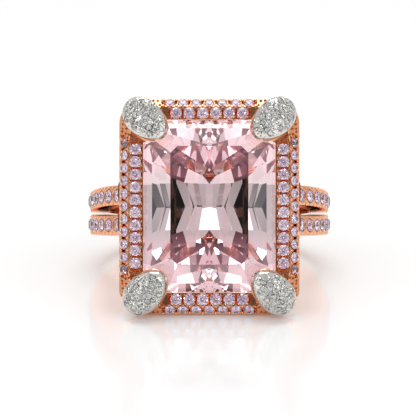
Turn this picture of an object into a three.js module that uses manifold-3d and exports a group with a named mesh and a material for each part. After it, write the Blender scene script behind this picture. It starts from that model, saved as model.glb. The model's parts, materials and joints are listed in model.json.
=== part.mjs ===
// Cocktail ring: a large cut-corner centre stone in a rectangular two-row halo, four
// pave petal prongs on its corners, and a split shank of two pave strands a side.
//
// The pieces are modelled as a ring is worn with its head up: the finger runs along Y,
// the head faces +Z and the middle of the finger hole is the origin. At the end the
// whole ring is laid back, so that it rests on the lower edge of its halo and on the
// lower edge of its band, with the head facing -Y. Sizes are in millimetres.

import * as THREE from 'three';
import { ConvexGeometry } from 'three/addons/geometries/ConvexGeometry.js';
import { mergeVertices } from 'three/addons/utils/BufferGeometryUtils.js';
import Module from 'manifold-3d';

const wasm = await Module();
wasm.setup();

// ---------- driving dimensions ----------

const CLEARANCE = 0.05;            // between neighbouring pieces

const FINGER_RADIUS = 8.6;         // bore for a finger of 17.2 mm
const BORE_SIDES = 72;
const SHANK_THICKNESS = 1.8;       // radial, from the bore to the outside
const STRAND_WIDTH = 1.75;         // along the finger
const STRAND_GAP_BAND = 0.16;      // between the two strands where they leave the band
const STRAND_GAP_HEAD = 0.75;      // and where they reach the head
const BAND_END_ANGLE = 128;        // from the head round to the end of a strand, degrees
const SHOULDER_ANGLE = 52;         // where a strand leaves the circle and rises
const SHOULDER_X = 6.8;            // the risen strand's distance from the middle
const SPREAD_ANGLE = 98;           // where a side's two strands begin to part
const STRAND_LEAVE = 2;            // how far a strand keeps its heading past the shoulder
const STRAND_RISE = 4;             // and how far below the halo it is upright
const BAND_SOFTNESS = 0.35;        // of the back band's outer corners
const STRAND_STONE_RADIUS = 0.58;
const WIRE_WIDTH = 0.4;            // of the wire that joins the stones of a strip
const WIRE_HEIGHT = 0.2;
const STRAND_STONES = 11;          // in each strand's row
const STRAND_STONE_FIRST = 121;    // angles of the row's two end stones, degrees
const STRAND_STONE_LAST = 50;

const STONE_HALF_X = 5.49;         // the centre stone's girdle
const STONE_HALF_Y = 7.18;
const STONE_CUT = 1.9;             // how far each corner is cut off, along each side
const GIRDLE_Z = 14.5;             // the middle of the girdle above the bore's middle
const GIRDLE_THICKNESS = 0.3;
const TABLE_Z = 16.35;
const CULET_Z = 9.5;
const CULET_HALF_LENGTH = 1.6;     // the keel line under the stone runs along the finger
const STONE_LEVELS = [             // half width, half length, corner cut and height
  [3.17, 4.95, 1.15, TABLE_Z],
  [4.62, 6.35, 1.6, TABLE_Z - 0.75],
  [STONE_HALF_X, STONE_HALF_Y, STONE_CUT, GIRDLE_Z + GIRDLE_THICKNESS / 2],
  [STONE_HALF_X, STONE_HALF_Y, STONE_CUT, GIRDLE_Z - GIRDLE_THICKNESS / 2],
  [4.1, 5.6, 1.45, GIRDLE_Z - 2.5],
  [1.7, 3.1, 0.7, CULET_Z + 0.85],
];

const HALO_HALF_X = 7.5;
const HALO_HALF_Y = 9.0;
const HALO_CORNER = 2.1;           // radius of the halo's corners
const HALO_TOP_Z = 14.75;
const HALO_BEVEL_OUT = 0.78;       // the outer row's slope, outwards and downwards
const HALO_BEVEL_DOWN = 0.62;
const HALO_WALL = 0.35;            // upright wall between the upper and lower slopes

const HALO_STONE_RADIUS = 0.46;
const SEAT_DEPTH = 0.55;
const HALO_STONE_SIDES = 8;
const JOINED_STONE_SIDES = 6;      // of the stones that are joined in a strip
const STONE_POINT = 0.75;          // a round stone's depth, crown and table by its radius
const STONE_CROWN = 0.32;
const STONE_TABLE = 0.62;
const INNER_ROW_X = 6.17;
const INNER_ROW_Y = 7.76;
const INNER_SIDE_STONES = 10;      // in each long row beside the centre stone
const INNER_SIDE_PITCH = 1.053;
const INNER_END_STONES = 6;        // in each short row above and below it
const INNER_END_PITCH = 1.11;
const OUTER_SIDE_STONES = 11;      // on each long slope
const OUTER_SIDE_PITCH = 1.06;
const OUTER_END_STONES = 7;        // on each short slope
const OUTER_END_PITCH = 1.1;
const OUTER_STONE_RADIUS = 0.42;

const PETAL_INNER = new THREE.Vector3(3.85, 5.72, 16.35);   // underside at the inner tip
const PETAL_OUTER = new THREE.Vector3(6.82, 8.68, 14.95);   // underside at the outer tip
const PETAL_HALF_WIDTH = 1.52;
const PETAL_SWELL = 0.12;          // how much broader the outer half is than the inner
const PETAL_CORNERS = 20;          // of the petal's outline
const PETAL_RIM = 0.4;             // height of a petal's upright rim
const PETAL_DOME = 0.9;            // and of the dome above it
const PETAL_ROUNDING = 0.65;       // how far in from the rim the dome is round

const CLAW_RADIUS = 0.42;
const CLAW_POINTS = [              // the middle line of the claw in the +X +Y corner
  [3.95, 5.55, 9.0],
  [4.75, 6.4, 11.7],
  [5.32, 7.0, 13.9],
  [5.15, 6.84, 15.1],
  [4.55, 6.24, 15.85],
];
const RAIL_WIDTH = 0.75;
const GALLERY_Z = 11.35;           // underside of the gallery rail
const GALLERY_HEIGHT = 0.7;
const GALLERY_HALF_X = 5.45;
const GALLERY_HALF_Y = 7.1;
const GALLERY_CORNER = 1.4;
const GALLERY_OPENING_CORNER = 1.0;
const BASE_HALF_X = 4.7;
const BASE_HALF_Y = 6.3;
const BASE_TOP_Z = 9.75;
const BASE_WIDTH = 1.1;
const BASE_CORNER = 1.2;
const BASE_OPENING_CORNER = 0.8;

const THROUGH = 40;                // long enough to cut right through the ring

const SHANK_RADIUS = FINGER_RADIUS + SHANK_THICKNESS / 2;
const SHANK_OUTER = FINGER_RADIUS + SHANK_THICKNESS;
const BAND_WIDTH = 2 * STRAND_WIDTH + STRAND_GAP_BAND;
const HALO_SHOULDER_Z = HALO_TOP_Z - HALO_BEVEL_DOWN;
const HALO_BOTTOM_Z = HALO_SHOULDER_Z - HALO_WALL - HALO_BEVEL_DOWN;
const SIDES = [['left', -1], ['right', 1]];
const ENDS = [['upper', 1], ['lower', -1]];

// ---------- materials ----------

const finish = (color, roughness, metalness) =>
  new THREE.MeshStandardMaterial({ color, roughness, metalness });

const roseGold = finish(0xd79a78, 0.2, 1);
const whiteGold = finish(0xcfcfd2, 0.22, 1);
const pinkStone = finish(0xe8c6cd, 0.05, 0);
const haloStoneFinish = finish(0xcfadc9, 0.08, 0);

// ---------- helpers ----------

const radians = THREE.MathUtils.degToRad;

// A closed geometry as a solid that can be cut and joined.
function solidOf(geometry) {
  const bare = geometry.clone();
  bare.deleteAttribute('normal');
  bare.deleteAttribute('uv');
  const merged = mergeVertices(bare, 1e-4);
  return new wasm.Manifold(new wasm.Mesh({
    numProp: 3,
    vertProperties: Float32Array.from(merged.attributes.position.array),
    triVerts: Uint32Array.from(merged.index.array),
  }));
}

// A solid back as a geometry.
function geometryOf(solid) {
  const { vertProperties, triVerts } = solid.getMesh();
  const geometry = new THREE.BufferGeometry();
  geometry.setAttribute('position', new THREE.BufferAttribute(vertProperties, 3));
  geometry.setIndex(new THREE.BufferAttribute(triVerts, 1));
  geometry.computeVertexNormals();
  return geometry;
}

function piece(name, geometry, material) {
  const mesh = new THREE.Mesh(geometry, material);
  mesh.name = name;
  return mesh;
}

// The eight corners of a rectangle whose corners are cut off, anticlockwise.
function cutRectangle(halfX, halfY, cut) {
  return [
    [halfX, -halfY + cut], [halfX, halfY - cut], [halfX - cut, halfY], [-halfX + cut, halfY],
    [-halfX, halfY - cut], [-halfX, -halfY + cut], [-halfX + cut, -halfY], [halfX - cut, -halfY],
  ].map(([x, y]) => new THREE.Vector2(x, y));
}

// An outline moved out from the centre stone's girdle by `margin` on every side.
function stoneOutline(margin) {
  const cut = STONE_CUT + margin * (2 - Math.SQRT2);
  return cutRectangle(STONE_HALF_X + margin, STONE_HALF_Y + margin, cut);
}

// A rectangle with round corners.
function roundRectangle(halfX, halfY, radius) {
  const shape = new THREE.Shape();
  shape.absarc(halfX - radius, halfY - radius, radius, 0, Math.PI / 2);
  shape.absarc(-halfX + radius, halfY - radius, radius, Math.PI / 2, Math.PI);
  shape.absarc(-halfX + radius, -halfY + radius, radius, Math.PI, Math.PI * 1.5);
  shape.absarc(halfX - radius, -halfY + radius, radius, Math.PI * 1.5, Math.PI * 2);
  return shape;
}

// A flat outline extruded upwards from `z`.
function slab(shape, z, height) {
  const geometry = new THREE.ExtrudeGeometry(shape, {
    depth: height, bevelEnabled: false, curveSegments: 2,
  });
  return geometry.translate(0, 0, z);
}

function block(width, depth, height) {
  return new THREE.BoxGeometry(width, depth, height);
}

// A small round stone with its table at +Z and its girdle at Z = 0.
function roundStone(radius, sides) {
  const profile = [[0, -STONE_POINT], [1, 0], [STONE_TABLE, STONE_CROWN], [0, STONE_CROWN]];
  const points = profile.map(([r, z]) => new THREE.Vector2(r * radius, z * radius));
  return new THREE.LatheGeometry(points, sides).rotateX(Math.PI / 2);
}

// Places along a straight row of `count`, centred on nought.
function row(count, pitch) {
  return Array.from({ length: count }, (_, i) => (i - (count - 1) / 2) * pitch);
}

// ---------- centre stone ----------

function centreStone(margin = 0) {
  const points = [];
  for (const [halfX, halfY, cut, z] of STONE_LEVELS) {
    const away = Math.sign(z - GIRDLE_Z) * margin;
    for (const corner of cutRectangle(halfX + margin, halfY + margin, cut)) {
      points.push(new THREE.Vector3(corner.x, corner.y, z + away));
    }
  }
  for (const end of [-1, 1]) {
    points.push(new THREE.Vector3(0, end * CULET_HALF_LENGTH, CULET_Z - margin));
  }
  return new ConvexGeometry(points);
}

// ---------- claws and petals ----------

const CORNERS = [];
for (const [endName, endSign] of ENDS) {
  for (const [sideName, sideSign] of SIDES) {
    CORNERS.push([`${endName}_${sideName}`, sideSign, endSign]);
  }
}

// A claw's middle line: up from the base rail, past the stone's cut corner, and over it.
function clawPath(sideSign, endSign) {
  const points = CLAW_POINTS.map(([x, y, z]) => new THREE.Vector3(sideSign * x, endSign * y, z));
  return new THREE.CatmullRomCurve3(points);
}

function claw(sideSign, endSign, radius) {
  const section = new THREE.Shape().absarc(0, 0, radius, 0, Math.PI * 2);
  return new THREE.ExtrudeGeometry(section, {
    steps: 12, curveSegments: 4, extrudePath: clawPath(sideSign, endSign),
  });
}

// A petal's outline: an egg with its narrow end towards the stone.
function petalShape(length) {
  const points = [];
  for (let i = 0; i < PETAL_CORNERS; i++) {
    const angle = (i + 0.5) / PETAL_CORNERS * Math.PI * 2;
    const swell = 1 - PETAL_SWELL * Math.cos(angle);
    const x = length / 2 * (1 - Math.cos(angle));
    points.push(new THREE.Vector2(x, -PETAL_HALF_WIDTH * Math.sin(angle) * swell));
  }
  return new THREE.Shape(points);
}

// A petal lying from its inner tip to its outer one: flat below, with a domed top.
function petal(sideSign, endSign) {
  const mirror = new THREE.Vector3(sideSign, endSign, 1);
  const inner = PETAL_INNER.clone().multiply(mirror);
  const outer = PETAL_OUTER.clone().multiply(mirror);
  const along = outer.clone().sub(inner).normalize();
  const across = new THREE.Vector3(0, 0, 1).cross(along).normalize();
  const up = along.clone().cross(across);
  const place = new THREE.Matrix4().makeBasis(along, across, up).setPosition(inner);
  const domed = new THREE.ExtrudeGeometry(petalShape(inner.distanceTo(outer)), {
    depth: PETAL_RIM, bevelSegments: 3,
    bevelThickness: PETAL_DOME, bevelSize: PETAL_ROUNDING, bevelOffset: -PETAL_ROUNDING,
  });
  const below = block(THROUGH, THROUGH, THROUGH).translate(0, 0, -THROUGH / 2);
  return solidOf(domed.applyMatrix4(place)).subtract(solidOf(below.applyMatrix4(place)));
}

// ---------- shank ----------

// A point on the circle of the shank: `degrees` are counted from the head.
function onCircle(sideSign, degrees, radius, y) {
  const angle = radians(degrees);
  return new THREE.Vector3(sideSign * Math.sin(angle) * radius, y, Math.cos(angle) * radius);
}

// How far a strand's middle line is from the shank's middle at an angle round it.
function strandOffset(degrees) {
  const spread = THREE.MathUtils.smoothstep(-degrees, -SPREAD_ANGLE, -SHOULDER_ANGLE);
  const gap = THREE.MathUtils.lerp(STRAND_GAP_BAND, STRAND_GAP_HEAD, spread);
  return (STRAND_WIDTH + gap) / 2;
}

// Part of the shank's circle between two angles; `offset` gives its place along the finger.
class ShankArc extends THREE.Curve {
  constructor(sideSign, from, to, offset) {
    super();
    Object.assign(this, { sideSign, from, to, offset });
  }

  getPoint(t) {
    const degrees = THREE.MathUtils.lerp(this.from, this.to, t);
    return onCircle(this.sideSign, degrees, SHANK_RADIUS, this.offset(degrees));
  }
}

// A strand's middle line, from the band round to its shoulder and up under the halo.
function strandPath(sideSign, endSign) {
  const offset = (degrees) => endSign * strandOffset(degrees);
  const arc = new ShankArc(sideSign, BAND_END_ANGLE, SHOULDER_ANGLE, offset);
  const start = arc.getPoint(1);
  const heading = arc.getTangent(1);
  const top = new THREE.Vector3(sideSign * SHOULDER_X, start.y, HALO_BOTTOM_Z - CLEARANCE);
  const leaving = start.clone().addScaledVector(heading, STRAND_LEAVE);
  const rising = top.clone().setZ(top.z - STRAND_RISE);
  const path = new THREE.CurvePath();
  path.add(arc);
  path.add(new THREE.CubicBezierCurve3(start, leaving, rising, top));
  return path;
}

// A strand's section: a channel, open on the outside of the ring, for its row of stones.
function strandSection(outward) {
  const halfWidth = STRAND_WIDTH / 2;
  const halfThick = SHANK_THICKNESS / 2;
  const channel = STRAND_STONE_RADIUS + CLEARANCE;
  const floor = halfThick - SEAT_DEPTH;
  const corners = [
    [-halfWidth, -halfThick], [halfWidth, -halfThick], [halfWidth, halfThick], [channel, halfThick],
    [channel, floor], [-channel, floor], [-channel, halfThick], [-halfWidth, halfThick],
  ];
  return new THREE.Shape(corners.map(([w, t]) => new THREE.Vector2(w, t * outward)));
}

function strand(sideSign, endSign) {
  return new THREE.ExtrudeGeometry(strandSection(sideSign), {
    steps: 24, extrudePath: strandPath(sideSign, endSign),
  });
}

// A strand's row of stones, joined by a thin wire along the bottom of the channel.
function strandStones(sideSign, endSign) {
  const radius = SHANK_OUTER - STRAND_STONE_RADIUS * 0.3;
  const wireRadius = SHANK_OUTER - SEAT_DEPTH + CLEARANCE + WIRE_HEIGHT / 2;
  const wirePoints = [];
  let joined = null;
  for (let i = 0; i < STRAND_STONES; i++) {
    const share = i / (STRAND_STONES - 1);
    const degrees = THREE.MathUtils.lerp(STRAND_STONE_FIRST, STRAND_STONE_LAST, share);
    const y = endSign * strandOffset(degrees);
    const stone = roundStone(STRAND_STONE_RADIUS * 0.93, JOINED_STONE_SIDES);
    stone.rotateY(sideSign * radians(degrees));
    const at = onCircle(sideSign, degrees, radius, y);
    const solid = solidOf(stone.translate(at.x, at.y, at.z));
    joined = joined ? joined.add(solid) : solid;
    wirePoints.push(onCircle(sideSign, degrees, wireRadius, y));
  }
  const corners = [[-0.5, -0.5], [0.5, -0.5], [0.5, 0.5], [-0.5, 0.5]];
  const section = new THREE.Shape(corners.map(
    ([w, t]) => new THREE.Vector2(w * WIRE_WIDTH, t * WIRE_HEIGHT)));
  const wire = new THREE.ExtrudeGeometry(section, {
    steps: STRAND_STONES - 1, extrudePath: new THREE.CatmullRomCurve3(wirePoints),
  });
  return geometryOf(joined.add(solidOf(wire)));
}

// The plain band at the palm: an arc with a softened outside, its two ends facing the strands.
function backBand() {
  const halfWidth = BAND_WIDTH / 2;
  const softWidth = halfWidth - BAND_SOFTNESS;
  const softRadius = SHANK_OUTER - BAND_SOFTNESS;
  const profile = [
    [FINGER_RADIUS, -halfWidth], [softRadius, -halfWidth], [SHANK_OUTER, -softWidth],
    [SHANK_OUTER, softWidth], [softRadius, halfWidth], [FINGER_RADIUS, halfWidth],
  ];
  const end = BAND_END_ANGLE + THREE.MathUtils.radToDeg(CLEARANCE / SHANK_RADIUS);
  const arc = new ShankArc(1, end, 360 - end, () => 0);
  const section = new THREE.Shape(profile.map(([r, y]) => new THREE.Vector2(y, r - SHANK_RADIUS)));
  return new THREE.ExtrudeGeometry(section, { steps: 26, extrudePath: arc });
}

// ---------- halo ----------

const outerSlope = Math.atan2(HALO_BEVEL_DOWN, HALO_BEVEL_OUT);

// The rows beside the centre stone and the rows beyond its ends.
const LONG_ROWS = {
  innerRow: INNER_ROW_X,
  half: HALO_HALF_X,
  innerCount: INNER_SIDE_STONES,
  innerPitch: INNER_SIDE_PITCH,
  outerCount: OUTER_SIDE_STONES,
  outerPitch: OUTER_SIDE_PITCH,
};
const SHORT_ROWS = {
  innerRow: INNER_ROW_Y,
  half: HALO_HALF_Y,
  innerCount: INNER_END_STONES,
  innerPitch: INNER_END_PITCH,
  outerCount: OUTER_END_STONES,
  outerPitch: OUTER_END_PITCH,
};

// Each side of the halo, with the turn that brings the +X side to it.
const HALO_SIDES = [
  { name: 'right', turn: 0, ...LONG_ROWS },
  { name: 'upper', turn: Math.PI / 2, ...SHORT_ROWS },
  { name: 'left', turn: Math.PI, ...LONG_ROWS },
  { name: 'lower', turn: Math.PI * 1.5, ...SHORT_ROWS },
];

// Lays a shape made on the XY plane onto the slope where the outer row lies.
function ontoSlope(geometry, side) {
  const x = side.half - HALO_BEVEL_OUT / 2;
  const z = HALO_TOP_Z - HALO_BEVEL_DOWN / 2;
  return geometry.rotateY(outerSlope).translate(x, 0, z).rotateZ(side.turn);
}

function haloSeats() {
  let seats = null;
  const innerWidth = 2 * HALO_STONE_RADIUS + CLEARANCE;
  const outerWidth = 2 * OUTER_STONE_RADIUS + CLEARANCE;
  for (const side of HALO_SIDES) {
    const innerLength = side.innerCount * side.innerPitch + 2 * CLEARANCE;
    const inner = block(innerWidth, innerLength, 2 * SEAT_DEPTH);
    inner.translate(side.innerRow, 0, HALO_TOP_Z).rotateZ(side.turn);
    const outerLength = side.outerCount * side.outerPitch + 2 * CLEARANCE;
    const outer = ontoSlope(block(outerWidth, outerLength, 2 * SEAT_DEPTH), side);
    for (const cut of [inner, outer]) {
      seats = seats ? seats.add(solidOf(cut)) : solidOf(cut);
    }
  }
  return seats;
}

function haloFrame() {
  const body = new THREE.ExtrudeGeometry(roundRectangle(HALO_HALF_X, HALO_HALF_Y, HALO_CORNER), {
    depth: HALO_WALL, curveSegments: 3, bevelSegments: 1,
    bevelThickness: HALO_BEVEL_DOWN, bevelSize: HALO_BEVEL_OUT, bevelOffset: -HALO_BEVEL_OUT,
  });
  body.translate(0, 0, HALO_SHOULDER_Z - HALO_WALL);
  const opening = slab(new THREE.Shape(stoneOutline(CLEARANCE)), 0, THROUGH);
  let solid = solidOf(body).subtract(solidOf(opening)).subtract(haloSeats());
  for (const [, sideSign, endSign] of CORNERS) {
    solid = solid.subtract(solidOf(claw(sideSign, endSign, CLAW_RADIUS + CLEARANCE)));
    solid = solid.subtract(petalSpace(sideSign, endSign));
  }
  return geometryOf(solid);
}

// How far a stone's girdle lies above the surface when its point clears the seat.
function girdleLift(radius) {
  return radius * STONE_POINT - SEAT_DEPTH + CLEARANCE;
}

function haloStone() {
  return roundStone(HALO_STONE_RADIUS, HALO_STONE_SIDES).translate(0, 0, girdleLift(HALO_STONE_RADIUS));
}

function outerStones(side) {
  let joined = null;
  const lift = girdleLift(OUTER_STONE_RADIUS);
  for (const y of row(side.outerCount, side.outerPitch)) {
    const stone = solidOf(roundStone(OUTER_STONE_RADIUS, JOINED_STONE_SIDES).translate(0, y, lift));
    joined = joined ? joined.add(stone) : stone;
  }
  const wire = block(WIRE_WIDTH, (side.outerCount - 1) * side.outerPitch, WIRE_HEIGHT);
  wire.translate(0, 0, WIRE_HEIGHT / 2 + CLEARANCE - SEAT_DEPTH);
  return ontoSlope(geometryOf(joined.add(solidOf(wire))), side);
}

// ---------- pieces that are cut to clear their neighbours ----------

// The space under and in a petal that its neighbours keep out of.
function petalSpace(sideSign, endSign) {
  const lifted = petal(sideSign, endSign);
  return lifted.add(lifted.translate([0, 0, -CLEARANCE]));
}

function clawPiece(sideSign, endSign) {
  const stone = solidOf(centreStone(CLEARANCE));
  const roof = petalSpace(sideSign, endSign);
  return geometryOf(solidOf(claw(sideSign, endSign, CLAW_RADIUS)).subtract(stone).subtract(roof));
}

function petalPiece(sideSign, endSign) {
  return geometryOf(petal(sideSign, endSign).subtract(solidOf(centreStone(CLEARANCE))));
}

function cutByClaws(solid) {
  let cut = solid;
  for (const [, sideSign, endSign] of CORNERS) {
    cut = cut.subtract(solidOf(claw(sideSign, endSign, CLAW_RADIUS + CLEARANCE)));
  }
  return cut;
}

// The rail under the halo, a frame round the stone's pavilion.
function galleryRail() {
  const outline = roundRectangle(GALLERY_HALF_X, GALLERY_HALF_Y, GALLERY_CORNER);
  const opening = roundRectangle(
    GALLERY_HALF_X - RAIL_WIDTH, GALLERY_HALF_Y - RAIL_WIDTH, GALLERY_OPENING_CORNER);
  const outer = solidOf(slab(outline, GALLERY_Z, GALLERY_HEIGHT));
  const inner = solidOf(slab(opening, 0, THROUGH));
  return geometryOf(cutByClaws(outer.subtract(inner)));
}

// The rail that lies on the finger: its underside follows the bore.
function baseRail() {
  const outline = roundRectangle(BASE_HALF_X, BASE_HALF_Y, BASE_CORNER);
  const opening = roundRectangle(
    BASE_HALF_X - BASE_WIDTH, BASE_HALF_Y - BASE_WIDTH, BASE_OPENING_CORNER);
  const outer = solidOf(slab(outline, 0, BASE_TOP_Z));
  const inner = solidOf(slab(opening, 0, THROUGH));
  const bore = new THREE.CylinderGeometry(FINGER_RADIUS, FINGER_RADIUS, THROUGH, BORE_SIDES);
  return geometryOf(cutByClaws(outer.subtract(inner).subtract(solidOf(bore))));
}

// ---------- assembly ----------

const ring = new THREE.Group();

ring.add(piece('centre_stone', centreStone(), pinkStone));
ring.add(piece('halo_frame', haloFrame(), roseGold));
for (const side of HALO_SIDES) {
  row(side.innerCount, side.innerPitch).forEach((y, i) => {
    const stone = haloStone().translate(side.innerRow, y, HALO_TOP_Z).rotateZ(side.turn);
    ring.add(piece(`halo_stone_${side.name}_${i + 1}`, stone, haloStoneFinish));
  });
  ring.add(piece(`slope_stones_${side.name}`, outerStones(side), haloStoneFinish));
}
for (const [name, sideSign, endSign] of CORNERS) {
  ring.add(piece(`claw_${name}`, clawPiece(sideSign, endSign), roseGold));
  ring.add(piece(`petal_${name}`, petalPiece(sideSign, endSign), whiteGold));
}
ring.add(piece('gallery_rail', galleryRail(), roseGold));
ring.add(piece('base_rail', baseRail(), roseGold));
ring.add(piece('back_band', backBand(), roseGold));
for (const [sideName, sideSign] of SIDES) {
  for (const [endName, endSign] of ENDS) {
    const name = `${sideName}_${endName}`;
    ring.add(piece(`strand_${name}`, strand(sideSign, endSign), roseGold));
    ring.add(piece(`strand_stones_${name}`, strandStones(sideSign, endSign), haloStoneFinish));
  }
}

// Laid back to rest on the halo's lower edge and the band's lower edge.
const haloFoot = new THREE.Vector2(HALO_SHOULDER_Z - HALO_WALL, HALO_HALF_Y);
const bandFoot = new THREE.Vector2(SHANK_OUTER, BAND_WIDTH / 2);
const layBack = Math.atan2(haloFoot.y - bandFoot.y, haloFoot.x + bandFoot.x);
ring.rotation.x = Math.PI / 2 - layBack;

const object = new THREE.Group();
object.add(ring);
object.updateMatrixWorld(true);
const box = new THREE.Box3().setFromObject(ring, true);
ring.position.set(0, -(box.min.y + box.max.y) / 2, -box.min.z);

export default object;
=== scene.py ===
"""The looks of a cocktail ring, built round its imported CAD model.

The pieces are worked out in the worn ring's own frame, in millimetres: X across, Y along
the finger and Z up through the head, with the middle of the finger hole as the origin.
RingPlace turns that frame into the row's, in metres, from the record's mounts.
"""

import json
import logging
import math
from dataclasses import dataclass
from enum import Enum
from typing import Any, Sequence

import bpy
import numpy as np
from mathutils import Matrix, Vector


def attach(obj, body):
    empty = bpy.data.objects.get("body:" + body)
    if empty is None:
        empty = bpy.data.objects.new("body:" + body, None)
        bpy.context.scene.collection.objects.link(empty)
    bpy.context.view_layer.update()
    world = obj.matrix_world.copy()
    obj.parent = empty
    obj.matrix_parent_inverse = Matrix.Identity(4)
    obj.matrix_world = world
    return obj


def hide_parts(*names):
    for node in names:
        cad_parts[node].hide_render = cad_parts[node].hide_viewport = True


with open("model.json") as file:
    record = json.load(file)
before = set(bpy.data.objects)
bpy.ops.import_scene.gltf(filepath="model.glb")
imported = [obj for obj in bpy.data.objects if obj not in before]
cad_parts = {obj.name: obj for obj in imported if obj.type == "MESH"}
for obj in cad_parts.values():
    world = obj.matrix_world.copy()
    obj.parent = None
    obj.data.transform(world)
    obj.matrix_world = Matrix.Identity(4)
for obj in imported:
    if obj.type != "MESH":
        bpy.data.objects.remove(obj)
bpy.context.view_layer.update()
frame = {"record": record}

LOG = logging.getLogger("cocktail_ring")
MM = 0.001
SEED = 11

# ---------- sizes shared with the CAD model, in millimetres ----------

FINGER_RADIUS = 8.6
SHANK_THICKNESS = 1.8
STRAND_WIDTH = 1.75
STRAND_GAP_BAND = 0.16
STRAND_GAP_HEAD = 0.75
BORE_CLEARANCE = 0.02
BAND_END_ANGLE = 128.0
SHOULDER_ANGLE = 52.0
SHOULDER_X = 6.8
SPREAD_ANGLE = 98.0
STONE_HALF = (5.49, 7.18)
STONE_CUT = 1.9
GIRDLE_Z = 14.5
TABLE_Z = 16.35
HALO_HALF = (7.5, 9.0)
HALO_CORNER = 2.1
HALO_TOP_Z = 14.75
HALO_BEVEL_OUT = 0.78
HALO_BEVEL_DOWN = 0.62
HALO_WALL = 0.35
HALO_SIDES = ("right", "upper", "left", "lower")
PETAL_INNER = (3.85, 5.72, 16.35)
PETAL_OUTER = (6.82, 8.68, 14.95)
PETAL_HALF_WIDTH = 1.52
PETAL_SWELL = 0.12
CORNERS = {"upper_left": (-1, 1), "upper_right": (1, 1), "lower_left": (-1, -1), "lower_right": (1, -1)}
QUARTERS = np.array([(1, 1, 1), (-1, 1, 1), (1, -1, 1), (-1, -1, 1)])


@dataclass(frozen=True)
class RowLayout:
    """A straight row of the halo's stones: its distance from the middle, their number and pitch."""

    reach: float
    count: int
    pitch: float


INNER_ROWS = {"side": RowLayout(6.17, 10, 1.053), "end": RowLayout(7.76, 6, 1.11)}
OUTER_ROWS = {
    "side": RowLayout(HALO_HALF[0] - HALO_BEVEL_OUT / 2, 11, 1.06),
    "end": RowLayout(HALO_HALF[1] - HALO_BEVEL_OUT / 2, 7, 1.1),
}


class Side(Enum):
    """The two sides of the ring, as someone facing the head sees them."""

    LEFT = -1
    RIGHT = 1


class End(Enum):
    """The two strands of a side, towards the fingertip and towards the hand."""

    UPPER = 1
    LOWER = -1


# ---------- shells: points and faces as arrays ----------


@dataclass
class Shell:
    """A surface: points in the worn ring's millimetres and faces of one size per array."""

    points: np.ndarray
    faces: list[np.ndarray]


def joined(shells: Sequence[Shell]) -> Shell:
    """Puts several shells into one.

    Args:
        shells: The shells, which keep their own points.

    Returns:
        One shell with all the points and faces.
    """
    faces: list[np.ndarray] = []
    start = 0
    for shell in shells:
        faces += [array + start for array in shell.faces]
        start += len(shell.points)
    return Shell(np.concatenate([shell.points for shell in shells]), faces)


def outward(shell: Shell) -> Shell:
    """Turns a closed shell's faces to point out, by the sign of the volume they enclose.

    Args:
        shell: A closed shell whose faces all turn the same way.

    Returns:
        The shell, with its faces reversed if they pointed in.
    """
    volume = 0.0
    for array in shell.faces:
        first = shell.points[array[:, 0]]
        for corner in range(1, array.shape[1] - 1):
            second = shell.points[array[:, corner]]
            third = shell.points[array[:, corner + 1]]
            volume += float(np.einsum("ij,ij->i", first, np.cross(second, third)).sum())
    if volume < 0:
        return Shell(shell.points, [array[:, ::-1] for array in shell.faces])
    return shell


def grid_quads(rows: int, columns: int, close_rows: bool, close_columns: bool) -> np.ndarray:
    """Numbers the quads of a grid of points stored row by row.

    Args:
        rows: How many rows of points there are.
        columns: How many points a row has.
        close_rows: Whether the last row joins the first.
        close_columns: Whether each row's last point joins its first.

    Returns:
        An array of four point numbers for each quad.
    """
    i = np.arange(rows if close_rows else rows - 1)
    j = np.arange(columns if close_columns else columns - 1)
    i, j = np.meshgrid(i, j, indexing="ij")
    next_i, next_j = (i + 1) % rows, (j + 1) % columns
    row, next_row = i * columns, next_i * columns
    return np.stack([row + j, next_row + j, next_row + next_j, row + next_j], -1).reshape(-1, 4)


def capped_tube(rings: np.ndarray) -> Shell:
    """A tube through rings of points, closed by a flat face at each end.

    Args:
        rings: Points as (ring, point of the ring, xyz).

    Returns:
        The closed tube.
    """
    count, sides = rings.shape[:2]
    quads = grid_quads(count, sides, False, True)
    start_cap = np.arange(sides)[None, ::-1]
    end_cap = (np.arange(sides) + (count - 1) * sides)[None, :]
    return outward(Shell(rings.reshape(-1, 3), [quads, start_cap, end_cap]))


def closed_loop(rings: np.ndarray) -> Shell:
    """A tube through rings of points whose last ring joins its first.

    Args:
        rings: Points as (ring, point of the ring, xyz).

    Returns:
        The closed ring-shaped tube.
    """
    quads = grid_quads(rings.shape[0], rings.shape[1], True, True)
    return outward(Shell(rings.reshape(-1, 3), [quads]))


def unit(vectors: np.ndarray) -> np.ndarray:
    """Scales vectors to length one."""
    return vectors / np.linalg.norm(vectors, axis=-1, keepdims=True)


def repeated(
    template: Shell, centres: np.ndarray, ups: np.ndarray, sizes: np.ndarray, alongs: np.ndarray
) -> Shell:
    """Copies one small shell to many places.

    Each copy is the template times its size, in a basis whose Z is `ups` and whose X is
    `alongs` made square to it.

    Args:
        template: The shell to copy, round the origin.
        centres: Where each copy goes, one row each.
        ups: Each copy's Z direction.
        sizes: Each copy's scale in its own X, Y and Z, one row each.
        alongs: Roughly each copy's X direction.

    Returns:
        One shell with all the copies.
    """
    z = unit(ups)
    x = unit(alongs - z * np.einsum("ij,ij->i", alongs, z)[:, None])
    y = np.cross(z, x)
    local = template.points[None] * sizes[:, None, :]
    points = local[..., :1] * x[:, None] + local[..., 1:2] * y[:, None] + local[..., 2:] * z[:, None]
    points = (points + centres[:, None]).reshape(-1, 3)
    shift = (np.arange(len(centres)) * len(template.points))[:, None, None]
    faces = [(array[None] + shift).reshape(-1, array.shape[1]) for array in template.faces]
    return Shell(points, faces)


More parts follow.
